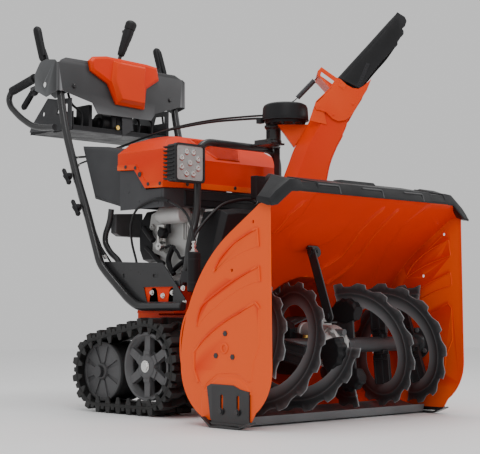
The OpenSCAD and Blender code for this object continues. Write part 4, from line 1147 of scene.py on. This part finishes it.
def hood_solid(side, plan, face, bottom):
    """What three outlines above the bottom have in common: (y, z) points, (x, y) points and (x, z) points."""
    half = max(x for x, _ in plan)
    solid = new_object("hood_pressing", Shape().prism(side, -half, half))
    combine(solid, new_object("plan", Shape().prism(plan, bottom, 900, "z")), "INTERSECT")
    combine(solid, new_object("face", Shape().prism(face, 550, 900, "y")), "INTERSECT")
    return solid


def hood():
    """The hood's folded shell, the panel pressed into its front slope, its lower flange and its screws."""
    shell = hood_solid([(557, 643), (557, 728), (640, 803), (700, 812), (760, 816), (793, 812), (793, 706),
                        (715, 702), (666, 646)],
                       [(-187, 557), (187, 557), (235, 585), (235, 793), (-235, 793), (-235, 585)],
                       [(-235, 640), (235, 640), (235, 755), (186, 790), (100, 816), (-100, 816),
                        (-186, 790), (-235, 755)], 600)
    round_edges(shell, 6, 4, 12)
    hollow = hood_solid([(560, 600), (560, 726), (641, 799), (700, 808), (800, 811), (800, 600)],
                        [(-184, 561), (184, 561), (231, 588), (231, 799), (-231, 799), (-231, 588)],
                        [(-231, 590), (231, 590), (231, 753), (184, 786), (98, 811), (-98, 811), (-184, 786),
                         (-231, 753)], 590)
    combine(shell, hollow, "DIFFERENCE")
    finish(shell, "frame", "orange_paint", ["hood"], 30)
    press = Shape()
    foot, top = Vector((557, 728)), Vector((640, 803))
    along = (top - foot).normalized()
    out = Vector((-along.y, along.x))

    def on_slope(x, t, h):
        """A point on the front slope: a share t of the way up it and h out from it."""
        q = foot.lerp(top, t) + out * h
        return (x, q.x, q.y)
    for low_half, high_half in ((48, 108), (44, 100)):
        corners = ((-low_half, 0.08), (low_half, 0.08), (high_half, 0.93), (-high_half, 0.93))
        press.rings([[on_slope(x, t, -1) for x, t in corners],
                     [on_slope(x * 0.95, 0.5 + (t - 0.5) * 0.9, 3.2) for x, t in corners]])
    flange = [(793, 707), (715, 703), (666, 647), (586, 644), (586, 660), (660, 663), (709, 718), (793, 722)]
    for s in (-1, 1):
        press.prism(flange, s * 234.5, s * 237.2)
        press.prism([(s * 235, 586), (s * 187, 558), (s * 186, 554.6), (s * 237.2, 584)], 644, 660, "z")
    press.block((-187, 554.6, 644), (187, 558, 660))
    piece("hood_pressings", press, "frame", "orange_paint", bevel=1.0, segments=3)
    screws = Shape()
    for s in (-1, 1):
        for y, z in ((753, 714), (708, 708), (650, 657), (597, 655)):
            screws.disc((s * 237, y, z), 5.5, s * 2.6, chamfer=1)
        screws.disc((s * 237, 687, 687), 8, s * 3.4, chamfer=1.4)
        screws.disc((s * 171, 554.8, 654), 5.5, -2.6, "y", chamfer=1)
    screws.disc((17, 554.8, 655), 5.5, -2.6, "y", chamfer=1)
    piece("hood_screws", screws, "frame", "black_paint", bevel=0.3)


def shroud():
    """The grey skirt round the engine under the hood, and the black cover over its front."""
    shape = Shape()
    shape.prism([(-181, 563), (181, 563), (229, 589), (229, 788), (226, 788), (226, 591), (180, 566),
                 (-180, 566), (-226, 591), (-226, 788), (-229, 788), (-229, 589)], 588, 642, "z")
    wall = [(600, 588), (754, 588), (789, 604), (789, 704), (721, 702), (668, 642), (600, 642)]
    for s in (-1, 1):
        shape.prism(wall, s * 226.2, s * 229.4)
        shape.prism([(612, 598), (640, 598), (640, 606), (612, 606)], s * 229, s * 230.4)
        for y, z in ((690, 652), (748, 640), (700, 610)):
            shape.disc((s * 229, y, z), 3.4, s * 1.4, chamfer=0.4)
    piece("engine_shroud_skirt", shape, "frame", "grey_plastic", ["engine_shroud"])
    front = Shape()
    front.prism([(-176, 592), (-60, 590), (176, 590), (176, 638), (-176, 638)], 563, 558.5, "y",
                end=[(-172, 596), (-60, 594), (172, 594), (172, 634), (-172, 634)])
    front.prism([(-150, 634), (150, 634), (120, 612), (-120, 612)], 559, 556, "y")
    front.prism([(186, 566), (229, 590), (229, 586), (186, 562)], 592, 638, "z")
    piece("engine_front_cover", front, "frame", "black_plastic", bevel=1.2)


def tank():
    """The fuel tank with its ribs, raised side panels and handles, and the knurled cap."""
    shape = Shape()
    side = [(794, 598), (937, 634), (1000, 801), (870, 787), (794, 768)]
    small = [(804, 610), (930, 642), (990, 792), (872, 778), (804, 760)]
    shape.prism(side, -208, 208)
    for s in (1, -1):
        shape.prism(side, s * 207, s * 214, end=small)
    for x in (-120, 0, 120):
        shape.sweep([(x, 942, 650), (x, 996, 792)], [(-5, -3), (5, -3), (3, 2.5), (-3, 2.5)],
                    up=(0, 1, -0.4))
    for s in (-1, 1):
        shape.prism([(800, 712), (842, 716), (842, 724), (800, 722)], s * 213, s * 215,
                    end=[(803, 714), (838, 718), (838, 722), (803, 720)])
    piece("tank_cover", shape, "frame", "grey_plastic", ["fuel_tank"], bevel=8, segments=4)
    cap = Shape()
    x, y = 120, 950
    cap.lathe([(788, 1), (788, 34), (794, 36), (812, 35), (816, 32), (816, 1)], (x, y, 0), "z", 48)
    for k in range(16):
        a = 2 * pi * k / 16
        cap.disc((x + 35 * cos(a), y + 35 * sin(a), 794), 3, 18, "z", 10)
    cap.block((x - 18, y - 4, 815), (x + 18, y + 4, 822))
    piece("tank_cap", cap, "frame", "black_plastic")


# The hoses by the engine: where each runs beside it, as (y, z) points, and its radius
HOSE_X = -142
HOSES = (([(704, 596), (662, 592), (635, 598)], 10), ([(669, 594), (671, 551), (669, 519)], 7),
         ([(783, 542), (759, 519), (738, 500)], 9), ([(772, 482), (745, 463), (724, 445), (690, 431)], 7),
         ([(648, 482), (669, 445), (662, 417), (645, 399)], 8), ([(579, 445), (621, 426), (652, 408)], 7),
         ([(703, 473), (662, 482), (631, 463), (614, 445), (572, 452)], 4.5))


def engine():
    """What shows of the engine: castings, starter, brackets, hoses, black covers, rear box and belt cover."""
    casting = Shape()
    casting.prism([(730, 596), (640, 590), (592, 578), (556, 560), (552, 500), (568, 452), (600, 378),
                   (669, 379), (696, 445), (763, 468), (782, 532), (770, 580)], -124, -97)
    for y, z, r in ((606, 418, 20), (761, 542, 9), (597, 482, 11), (590, 545, 9), (700, 470, 8)):
        casting.disc((-123, y, z), r, -9, chamfer=1.5)
        casting.hexagon((-131, y, z), r * 0.5, -4)
    for k in range(5):
        casting.block((-134, 574 + 10 * k, 500), (-122, 577 + 10 * k, 548))
        casting.block((-136, 584, 376 + 9 * k), (-110, 632, 379 + 9 * k))
    casting.lathe([(588, 1), (588, 20), (590, 24), (596, 26.5), (684, 26.5), (690, 20), (704, 17), (706, 1)],
                  (-151, 0, 572), "y", 48)
    casting.disc((-151, 588.4, 558), 4, -3, "y", chamfer=0.8)
    casting.blocks(((-136, 632, 556), (-96, 668, 586)), ((-112, 500, 538), (-98, 545, 584)))
    piece("engine_castings", casting, "frame", "aluminium", ["starter_motor"], bevel=2.0, segments=3)
    plates = Shape()
    plates.blocks(((-142, 690, 486), (-136, 723, 546)), ((-160, 694, 492), (-141, 700, 540)))
    plates.lathe([(-160, 3), (-160, 12), (-150, 15), (-138, 15), (-138, 3)], (0, 696, 482), "x", 32)
    piece("engine_brackets", plates, "frame", "zinc", ["carburettor"])
    hoses = Shape()
    for route, r in HOSES:
        hoses.tube(spline([(HOSE_X, y, z) for y, z in route], 6), r, 14)
    hoses.lathe([(-168, 1), (-168, 12), (-164, 15), (-146, 15), (-146, 1)], (0, 679, 520), "x", 32)
    hoses.prism([(-60, 600), (-100, 592), (-120, 562), (-128, 520), (-126, 475), (-114, 447), (-88, 438),
                 (-60, 440)],
                764, 822, "y")
    hoses.block((30, 478, 622), (112, 502, 688))
    piece("engine_hoses", hoses, "frame", "black_plastic", bevel=1.5, segments=3)
    rear = Shape().prism([(-177, 586), (-71, 592), (-71, 518), (-157, 519), (-177, 529)], 874, 900, "y")
    piece("engine_rear_box", rear, "frame", "wheel_plastic", bevel=3, segments=3)
    cover = Shape()
    outline = [(-104, 140), (104, 140), (128, 170), (128, 300), (112, 579), (60, 586), (-60, 586),
               (-112, 579), (-138, 499), (-160, 416), (-160, 350), (-128, 300), (-128, 170)]
    cover.stacked(((outline, 550), (outline, 476), (inward(outline, 14), 459)), "y")
    piece("belt_cover_pressing", cover, "frame", "black_plastic", ["belt_cover"], bevel=2.5, segments=3)


# ---------- frame, guard tube and lamp ----------

def bar(shape, points, r, bend, sides):
    """A round bar, bent where the points turn. bend is the bends' radius."""
    return shape.tube(filleted(points, bend, 9), r, sides)


def tubes():
    """The two handle tubes and the plugs in their front ends."""
    route = [(501, 305), (694, 305), (738, 326), (847, 409), (875, 435), (933, 573), (953, 618), (988, 688),
             (1054, 850), (1080, 950), (1092, 1036)]
    shape = bar(Shape(), [(-235, y, z) for y, z in route], 12.25, 60, 28).both_sides()
    piece("handle_tubes_bent", shape, "frame", "black_paint", ["handle_tubes"], bevel=0)
    plugs = Shape().disc((-235, 501.5, 305), 11.6, -3.5, "y", chamfer=1).both_sides()
    piece("tube_plugs", plugs, "frame", "black_plastic", bevel=0)


def guard():
    """The hoop in front of the engine, its feet, the lamp's bracket and the thin rod behind it."""
    hoop = Shape()
    half = [(-203, 542, 366), (-198, 520, 425), (-194, 520, 470), (-185, 520, 505), (-174, 520, 535),
            (-165, 520, 578), (-163, 520, 610), (-163, 520, 776)]
    bar(hoop, half + [(-x, y, z) for x, y, z in reversed(half)], 11, 58, 24)
    hoop.block((-180, 500, 690), (-172.6, 525, 714))
    hoop.disc((-180, 492, 702), 12, 7.4)
    for s in (-1, 1):
        hoop.block((min(s * 190, s * 215), 534, 362), (max(s * 190, s * 215), 556, 378))
    rod = [(-190, 880, 600), (-190, 886, 564), (-190, 908, 525), (-190, 910, 500), (-190, 886, 470),
           (-190, 846, 446), (-190, 826, 420)]
    bar(hoop, rod, 9, 24, 18)
    bore = Shape().disc((-190, 492, 702), 5.1, 30)
    piece("guard_hoop", hoop, "frame", "black_paint", ["guard_tube"], bevel=0, cut=bore)


def handle_loops():
    """The bent loops at the ends of the handle, with the triggers' brackets, and the ribbed grips on them."""
    loops = Shape()
    route = [(1100, 1030), (1187, 1038), (1284, 1018), (1334, 1008), (1351, 985), (1338, 958), (1282, 917),
             (1218, 884), (1168, 872), (1092, 866)]
    bar(loops, [(-250, y, z) for y, z in route], 10, 26, 22)
    loops.prism([(1192, 1034), (1200, 1034), (1200, 1012), (1231, 1008), (1230, 996), (1217, 996),
                 (1192, 1012)],
                -248, -242)
    loops.disc((-242, 1224, 1003), 3, 22)
    piece("handle_loops_bent", loops.both_sides(), "frame", "black_paint", ["handle_loops"], bevel=0)
    start, end = Vector((-250, 1202, 1035)), Vector((-250, 1328, 1009))
    along = (end - start).normalized()
    up = Vector((0, -along.z, along.y))
    angles = [2 * pi * k / 24 for k in range(24)]
    rings = []
    for i in range(65):
        t = i / 64
        groove = 1.4 if i % 4 in (1, 2) and 0.12 < t < 0.9 else 0
        r = 15.3 - groove + (0.9 if t < 0.05 else 0)
        centre = start.lerp(end, t)
        rings.append([centre + Vector((r * cos(a), 0, 0)) + up * r * 0.92 * sin(a) for a in angles])
    grips = Shape().rings(rings).both_sides()
    piece("handle_grips_ribbed", grips, "frame", "grip_rubber", ["handle_grips"], bevel=0)


BOLT_SEAT = -218.5              # the outer face that the bracket's bolts sit on


def bracket():
    """The plates that join the handle tubes to the frame, with their window, slot, tabs and bolts."""
    shape = Shape().prism([(897, 435), (870, 440), (603, 429), (507, 328), (507, 296), (700, 296),
                           (752, 320), (860, 402)], -222, -218.2)
    cut = Shape().prism([(557, 319), (673, 319), (687, 361), (557, 361)], -230, -210)
    # the hole and the slot are sunk into the plate, not cut through
    sunk = -219.2
    cut.disc((-230, 777, 396), 6, sunk + 230)
    cut.prism(arc((640, 393), 5, -90, 90, 8) + arc((624, 393), 5, 90, 270, 8), -230, sunk)
    tabs, bolts = Shape(), Shape()
    for y0, y1 in ((545, 583), (624, 666)):
        tabs.prism([(y0, 316), (y1, 316), (y1 - 6, 350), (y1 - 14, 359), (y0 + 14, 359), (y0 + 6, 350)],
                   -218, -215)
    for y, z in ((651, 345), (603, 336), (562, 344), (516, 356), (509, 316)):
        bolts.disc((BOLT_SEAT, y, z), 8, -1.6, chamfer=0.4)
        bolts.hexagon((BOLT_SEAT - 1.4, y, z), 6, -4.6)
    for part in (shape, cut, tabs, bolts):
        part.both_sides()
    piece("bracket_plates", shape, "frame", "black_paint", ["frame_brackets"], cut=cut)
    piece("bracket_tabs", tabs, "frame", "black_paint", bevel=0.6)
    piece("bracket_bolts", bolts, "frame", "zinc", bevel=0.4)


def work_lamp():
    """The work lamp: finned shell, rim, ribbed reflector, nine lenses and the bracket it tilts on."""
    shell, plate, lens = Shape(), Shape(), Shape()
    cx, cz = -240, 702

    def rounded(w, h, r):
        """A round-cornered outline about the lamp's middle, w and h from it."""
        points = []
        for sx, sz, a in ((1, 1, 0), (-1, 1, 90), (-1, -1, 180), (1, -1, 270)):
            points += arc((cx + sx * (w - r), cz + sz * (h - r)), r, a, a + 90, 5)
        return points
    shell.prism(rounded(54, 52, 9), 468.5, 500, "y")
    outer, inner = rounded(55, 54, 11), rounded(49, 48, 7)
    rim = ((outer, 476), (outer, 463), (inner, 462.4), (inner, 476))
    shell.stacked(rim, "y", closed=True)
    plate.prism(rounded(49.5, 48.5, 7), 466.4, 469, "y")
    for k in range(30):
        x = cx - 46.4 + 3.2 * k
        plate.block((x - 0.7, 465.5, cz - 44), (x + 0.7, 466.8, cz + 44))
    for x, z in [(0, 0)] + [tuple(polar(33, 45 * k + 22)) for k in range(8)]:
        lens.lathe([(466, 0.2), (463.6, 3), (463.2, 6.4), (464.4, 8.8), (467, 9.4), (467, 0.2)],
                   (cx + x, 0, cz + z), "y", 28)
    for k in range(9):
        z = cz - 44 + 11 * k
        shell.prism([(-290, z - 4.4), (-299, z - 1), (-299, z + 1.4), (-290, z + 1)], 470, 512, "y")
        shell.block((-290, 499, z - 2), (-190, 516, z + 1.4))
    shell.disc((-185, 492, cz), 5, 17)
    shell.disc((-185, 492, cz), 10, 4.6, chamfer=0.6)
    shell.block((-186, 484, 662), (-180, 504, 742))
    piece("lamp_housing", shell, "lamp", "lamp_black", ["lamp_head"])
    piece("lamp_reflector", plate, "lamp", "aluminium", bevel=0.2)
    piece("lamp_lenses", lens, "lamp", "zinc", bevel=0)


# ---------- console and controls ----------

def console_panel():
    """The console's face, its folded top and side walls, the levers' pivots and the screws."""
    panel = Shape()
    panel.prism([(-262, 1060), (-250, 1076), (-231, 1085), (218, 1085), (250, 1072), (262, 1060), (262, 979),
                 (242, 979), (134, 945), (117, 921), (-105, 921), (-126, 953), (-242, 979), (-262, 979)],
                1062, 1064.5, "y")
    for s in (-1, 1):
        wing = [(1062, 979), (1064.5, 981), (1076, 981), (1076, 979)]
        panel.prism(wing, min(s * 245, s * 134), max(s * 245, s * 134))
    fold, edge = (1068, 1076), [(1150, 1082), (1150, 1079)]
    panel.prism(arc(fold, 6, 180, 90, 5) + edge + arc(fold, 3.2, 90, 180, 5), -217, 217)
    inner = [(1066, 978), (1136, 965), (1181, 995), (1182, 1037), (1160, 1071), (1116, 1081), (1070, 1084)]
    outer = [(1062, 976), (1120, 963), (1181, 991), (1182, 1043), (1154, 1077), (1122, 1083), (1074, 1076),
             (1062, 1066)]
    corner = [(258, 1062), (262, 1063.4), (265, 1068), (262.4, 1069), (260.6, 1066), (257, 1064.5)]
    cut = Shape()
    for s in (-1, 1):
        panel.prism(inner, s * 217, s * 220)
        panel.prism(outer, s * 262.4, s * 265)
        panel.disc((s * 217, 1142, 1060), 4, s * 29)
        panel.disc((s * 219, 1142, 1060), 9, s * 4, chamfer=1)
        panel.prism([(s * x, y) for x, y in corner], 978, 1064, "z")
        cut.disc((s * 258, 1128, 1003), 9, s * 10)
    cut.block((-8, 1092, 1070), (28, 1128, 1090))
    piece("console_sheet", panel, "frame", "dark_grey_paint", ["console_panel"], bevel=1.2, cut=cut,
          segments=3)
    screws = Shape()
    for x in (-198, 198):
        screws.disc((x, 1062, 998), 9, -1.6, "y", chamfer=0.4)
        screws.disc((x, 1060.6, 998), 6.4, -4, "y", chamfer=1.4)
    for x in (-120, -60, 80):
        screws.disc((x, 1110, 1082), 5, 2.4, "z", chamfer=0.8)
    piece("console_screws", screws, "frame", "black_paint", bevel=0.3)


def console_cover():
    """The orange cover in the middle of the console, with its raised wedge."""
    cover = Shape()
    wings = [(-140, 1053), (-70, 1019), (-36, 957), (79, 952), (87, 1021), (140, 1055), (131, 1098),
             (87, 1103), (-79, 1108), (-132, 1100), (-148, 1085)]
    cover.stacked(((wings, 1061.8), (wings, 1052), (inward(wings, 9), 1045)), "y")
    wedge = [(-58, 1098), (-66, 1030), (-34, 962), (76, 958), (74, 1030), (78, 1094)]
    cover.stacked(((wedge, 1048), (inward(wedge, 11), 1031)), "y")
    piece("console_cover_moulding", cover, "frame", "orange_paint", ["console_cover"], bevel=1.6, segments=3)


def console_tray():
    """The tray under the console with its drums and wires, its side brackets and a brass connector."""
    tray = Shape()
    tray.blocks(((-195, 1072, 862), (195, 1176, 866)), ((-195, 1072, 862), (-191, 1176, 922)),
                ((191, 1072, 862), (195, 1176, 922)), ((-195, 1072, 862), (195, 1076, 878)),
                ((-195, 1172, 862), (195, 1176, 922)), ((-200, 1176, 866), (200, 1296, 872)),
                ((-200, 1290, 866), (200, 1296, 892)))
    tray.disc((-58, 1124, 900), 34, 96, chamfer=4)
    tray.disc((-70, 1124, 900), 20, 12, chamfer=2)
    tray.blocks(((-118, 1092, 866), (-104, 1160, 952)), ((-30, 1082, 866), (-14, 1092, 960)))
    for x in (-150, 84, 140):
        wire = [(x, 1090, 866), (x + 10, 1100, 920), (x - 20, 1112, 950), (x - 30, 1120, 986)]
        tray.tube(spline(wire, 5), 4, 12)
    piece("tray_moulding", tray, "frame", "black_plastic", ["console_tray"], bevel=1.2)
    sides, holes = Shape(), Shape()
    for s in (-1, 1):
        sides.prism([(1072, 962), (1156, 967), (1199, 975), (1290, 893), (1300, 874), (1176, 866),
                     (1072, 864)],
                    s * 198, s * 202)
        holes.prism([(1092, 946), (1138, 948), (1150, 918), (1092, 914)], s * 190, s * 210)
        holes.disc((s * 190, 1222, 926), 7, s * 20)
    sides.prism([(1084, 882), (1092, 944), (1096, 944), (1096, 882)], -6, 60)
    sides.prism([(1, 926), (44, 926), (44, 882), (2, 858)], 1070, 1073, "y")
    piece("tray_brackets", sides, "frame", "grey_plastic", cut=holes)
    brass = Shape().disc((-20, 1078, 884), 5, -10, "y").disc((-20, 1070, 884), 8, -5, "y", 6)
    piece("tray_connector", brass, "frame", "brass", bevel=0.4)


def capsule(shape, start, end, wide, thick, stations):
    """A rounded handle from start to end: stations are (how far along, how wide there) pairs."""
    start, end = Vector(start), Vector(end)
    along = (end - start).normalized()
    side = Vector((1, 0, 0))
    deep = along.cross(side).normalized()
    rings = []
    for t, k in stations:
        centre = start.lerp(end, t)
        ring = []
        for i in range(28):
            a = 2 * pi * i / 28
            u, v = cos(a), sin(a)
            fat = (abs(u) ** 3 + abs(v) ** 3) ** (-1 / 3)
            ring.append(centre + side * wide * k * u * fat + deep * thick * k * v * fat)
        rings.append(ring)
    shape.rings(rings)


def lever(side):
    """A clutch lever: the right one drives the augers and the left one the tracks."""
    shape = Shape()
    shank = [(1133, 1056), (1138, 1051), (1149, 1053), (1166, 1093), (1176, 1120), (1164, 1126),
             (1148, 1096)]
    shape.prism(shank, -246, -236)
    ends = ((0, 0.55), (0.04, 0.8), (0.10, 0.92), (0.5, 1.0), (0.86, 1.04), (0.93, 0.97), (0.97, 0.8),
            (1.0, 0.45))
    capsule(shape, (-249, 1158, 1084), (-249, 1197, 1200), 12.6, 11, ends)
    capsule(shape, (-251, 1150, 1100), (-251, 1186, 1192), 8, 7, ends)
    shape, bore = for_side(side, shape, Shape().disc((-260, 1142, 1060), 4.1, 40))
    drives = {"right": "auger", "left": "drive"}[side]
    piece(f"{drives}_lever_moulding", shape, f"{drives}_clutch", "black_plastic", [f"{drives}_lever"],
          bevel=0, cut=bore)


def steering(side):
    """A steering trigger under a handle loop."""
    shape = Shape().prism([(1216, 1012), (1234, 1010), (1250, 996), (1240, 984), (1226, 986), (1214, 996)],
                          -238, -224)
    ends = ((0, 0.6), (0.05, 0.86), (0.2, 0.95), (0.6, 1.0), (0.88, 1.0), (0.95, 0.86), (1.0, 0.5))
    capsule(shape, (-231, 1232, 1004), (-231, 1296, 948), 9, 9.5, ends)
    shape, bore = for_side(side, shape, Shape().disc((-250, 1224, 1003), 3.1, 40))
    name = f"steering_trigger_{side}"
    piece(name + "_paddle", shape, f"trigger_{side}", "black_plastic", [name], bevel=0, cut=bore)


PIVOT, NECK, TOP_OF_STICK = Vector((10, 1110, 1060)), Vector((14, 1103, 1119)), Vector((39, 1072, 1236))
# The grip's stations: the share of the way from the neck to the top, and the radius there
GRIP = ((0.08, 9), (0.10, 11.5), (0.16, 12.5), (0.30, 14.5), (0.36, 14.2), (0.42, 15.6), (0.48, 15.4),
        (0.54, 16.8), (0.66, 17.6), (0.78, 18), (0.80, 17.2), (0.82, 17.2), (0.83, 19), (0.97, 19.4),
        (1.01, 18), (1.05, 13), (1.07, 6), (1.075, 1))


def joystick():
    """The joystick: stem on its gimbal, grip with two ears, the trigger between them and the collar."""
    stem = Shape()
    stem.tube([PIVOT + Vector((0, -12, 0)), PIVOT + Vector((0, 12, 0))], 3, 16)
    stem.sweep([PIVOT, NECK, NECK.lerp(TOP_OF_STICK, 0.35)],
               [(-4.5, -4.5), (4.5, -4.5), (4.5, 4.5), (-4.5, 4.5)], up=(0, 1, 0))
    piece("joystick_stem", stem, "stick", "black_paint", ["joystick"], bevel=0.6)
    along = (TOP_OF_STICK - NECK).normalized()
    side = Vector((1, 0, 0)) - along * along.x
    side.normalize()
    fore = along.cross(side)
    angles = [2 * pi * k / 28 for k in range(28)]
    grip = Shape().rings([[NECK.lerp(TOP_OF_STICK, t) + side * r * cos(a) + fore * r * 0.95 * sin(a)
                           for a in angles] for t, r in GRIP])
    root = NECK + 0.72 * (TOP_OF_STICK - NECK)
    lean = Matrix.Rotation(radians(15), 3, "X")

    def placed(shape):
        """A shape drawn about the trigger's root, leant and put there."""
        return shape.moved(lambda x, y, z: root + lean @ Vector((x, y, z)))
    ears = Shape().blocks(((-8.5, 8, -1), (-6.5, 23, 7)), ((6.5, 8, -1), (8.5, 23, 7)))
    placed(ears.disc((-8, 20.7, 3), 1.5, 16))
    grip.add(ears.verts, ears.faces)
    piece("joystick_grip", grip, "stick", "grip_rubber", bevel=0, round_angle=50)
    trigger = Shape().prism([(18.5, -20), (20, -26), (23.4, -27), (23, -10), (23.2, 6), (21, 8), (19, 7)],
                            -6, 6)
    piece("joystick_thumb_trigger", placed(trigger), "stick_trigger", "grey_plastic", ["joystick_trigger"],
          cut=placed(Shape().disc((-10, 20.7, 3), 1.6, 20)))
    collar = Shape()
    collar.lathe([(1082, 14.5), (1082, 20), (1085, 20), (1087, 18.5), (1087, 16)], (PIVOT.x, PIVOT.y, 0),
                 "z", 40)
    piece("joystick_collar", collar, "frame", "grip_rubber", bevel=0)


# ---------- cables and the canister ----------

CANISTER_AT = (-235, 454)
# The cables' routes and radii. The clutch cable has a mirrored twin
CANISTER = [(-235, 454, 480), (-235, 460, 515), (-236, 485, 562), (-236, 534, 592), (-236, 596, 610),
            (-236, 653, 605), (-233, 708, 585), (-226, 741, 543), (-216, 748, 492), (-208, 738, 440),
            (-207, 730, 400)]
ROTATOR = [(-217, 1022, 767), (-190, 1062, 773), (-145, 1100, 781), (-100, 1107, 789), (-62, 1071, 803),
           (-60, 984, 815), (-55, 846, 837), (-30, 766, 850), (-5, 634, 858), (30, 530, 859), (44, 478, 857),
           (47, 460, 854)]
DEFLECTOR = [(-217, 1012, 742), (-190, 1050, 748), (-140, 1100, 762), (-90, 1116, 779), (-45, 1086, 797),
             (-38, 990, 822), (-30, 880, 842), (-8, 770, 860), (18, 650, 869), (46, 548, 870),
             (60, 482, 868), (64, 464, 866)]
CLUTCH = [(-210, 1128, 1000), (-210, 1118, 960), (-210, 1106, 900), (-209, 1088, 840), (-208, 1050, 780),
          (-217.5, 1010, 700), (-217.5, 962, 610), (-214, 920, 520), (-211, 880, 450)]
HARNESS = [(-233, 456, 482), (-214, 476, 498), (-186, 486, 524), (-131, 496, 567), (-79, 500, 599),
           (-9, 500, 616), (38, 502, 616), (60, 512, 612)]
BRAKE = [(-221, 1042, 740), (-212, 1004, 625), (-204, 973, 551), (-196, 917, 482), (-192, 866, 426),
         (-192, 848, 404)]
CABLES = ((CANISTER, 3.5), (ROTATOR, 3.5), (DEFLECTOR, 3), (CLUTCH, 3.5),
          ([(-x, y, z) for x, y, z in CLUTCH], 3.5), (HARNESS, 4.6), (BRAKE, 3))


def cables():
    """Every cable's sheath, with a sleeve and a hexagonal end fitting at both ends."""
    sheath, sleeves, ends = Shape(), Shape(), Shape()
    for route, r in CABLES:
        path = spline(route, 7)
        sheath.tube(path, r, 12)
        for tip, neighbour in ((path[0], path[4]), (path[-1], path[-5])):
            sleeves.tube([tip, tip.lerp(neighbour, 0.8)], r + 1.6, 14)
            ends.tube([tip, tip.lerp(neighbour, 0.25)], r + 2.4, 6)
    sleeves.tube(spline(CANISTER, 7)[24:31], 5.2, 16)
    piece("cable_sheaths", sheath, "frame", "cable_sheath", ["control_cables"], bevel=0)
    piece("cable_sleeves", sleeves, "frame", "black_plastic", bevel=0.4)
    piece("cable_ends", ends, "frame", "zinc", bevel=0.3)


def canister():
    """The cable canister with its bands, arm and adjuster, and the winged knobs on the handle tubes."""
    black, steel = Shape(), Shape()
    centre = (*CANISTER_AT, 0)
    black.lathe([(345, 1), (345, 15), (348, 18), (352, 18.5), (448, 18.5), (452, 18), (455, 15), (455, 1)],
                centre, "z", 48)
    for z in (368, 432):
        black.lathe([(z, 18), (z, 19.4), (z + 4, 19.4), (z + 4, 18)], centre, "z", 48)
    black.block((-231, 470, 372), (-223, 512, 404))
    knob = [(247.5, 1), (247.5, 10), (251, 12), (258, 11), (264, 9), (266, 1)]
    wing = ((0, 0.4), (0.08, 0.8), (0.3, 0.8), (0.5, 1.1), (0.7, 0.85), (0.92, 1.0), (1, 0.5))
    for y, z in ((1010, 705), (962, 606)):
        for s in (-1, 1):
            black.lathe([(s * h, r) for h, r in knob], (0, y, z), "x", 40)
            capsule(black, (s * 261, y + 20, z + 24), (s * 261, y - 14, z - 25), 7, 8, wing)
            capsule(black, (s * 258, y + 22, z + 2), (s * 258, y - 18, z + 4), 6, 6, wing)
    piece("canister_and_knobs", black, "frame", "black_plastic", ["cable_fittings"], bevel=0.6)
    for z, r, length, sides in ((455, 12, 3, 6), (458, 8, 5, 6), (463, 4.6, 16, 24), (470, 7, 4, 6)):
        steel.disc((*CANISTER_AT, z), r, length, "z", sides)
    piece("canister_adjuster", steel, "frame", "zinc", bevel=0.4)


studio()
side_plate("right")
side_plate("left")
auger_housing()
trim()
skid_shoe("right")
skid_shoe("left")
fasteners()
chute()
deflector_steel()
deflector_moulding()
deflector_spring()
rotator()
augers()
gearcase()
auger_brace()
scraper_and_bearings()
impeller()
chassis()
track_belts()
for side in ("right", "left"):
    sprocket(side)
    idler(side)
    lever(side)
    steering(side)
hood()
shroud()
tank()
engine()
tubes()
guard()
handle_loops()
bracket()
work_lamp()
console_panel()
console_cover()
console_tray()
joystick()
cables()
canister()

# The CAD nodes get their slots' materials too
SLOTS = {entry["node"]: entry["material_slot"] for entry in frame["record"]["subparts"]}
for name, obj in frame["nodes"].items():
    obj.data.materials.clear()
    obj.data.materials.append(MATERIALS[SLOTS[name]])
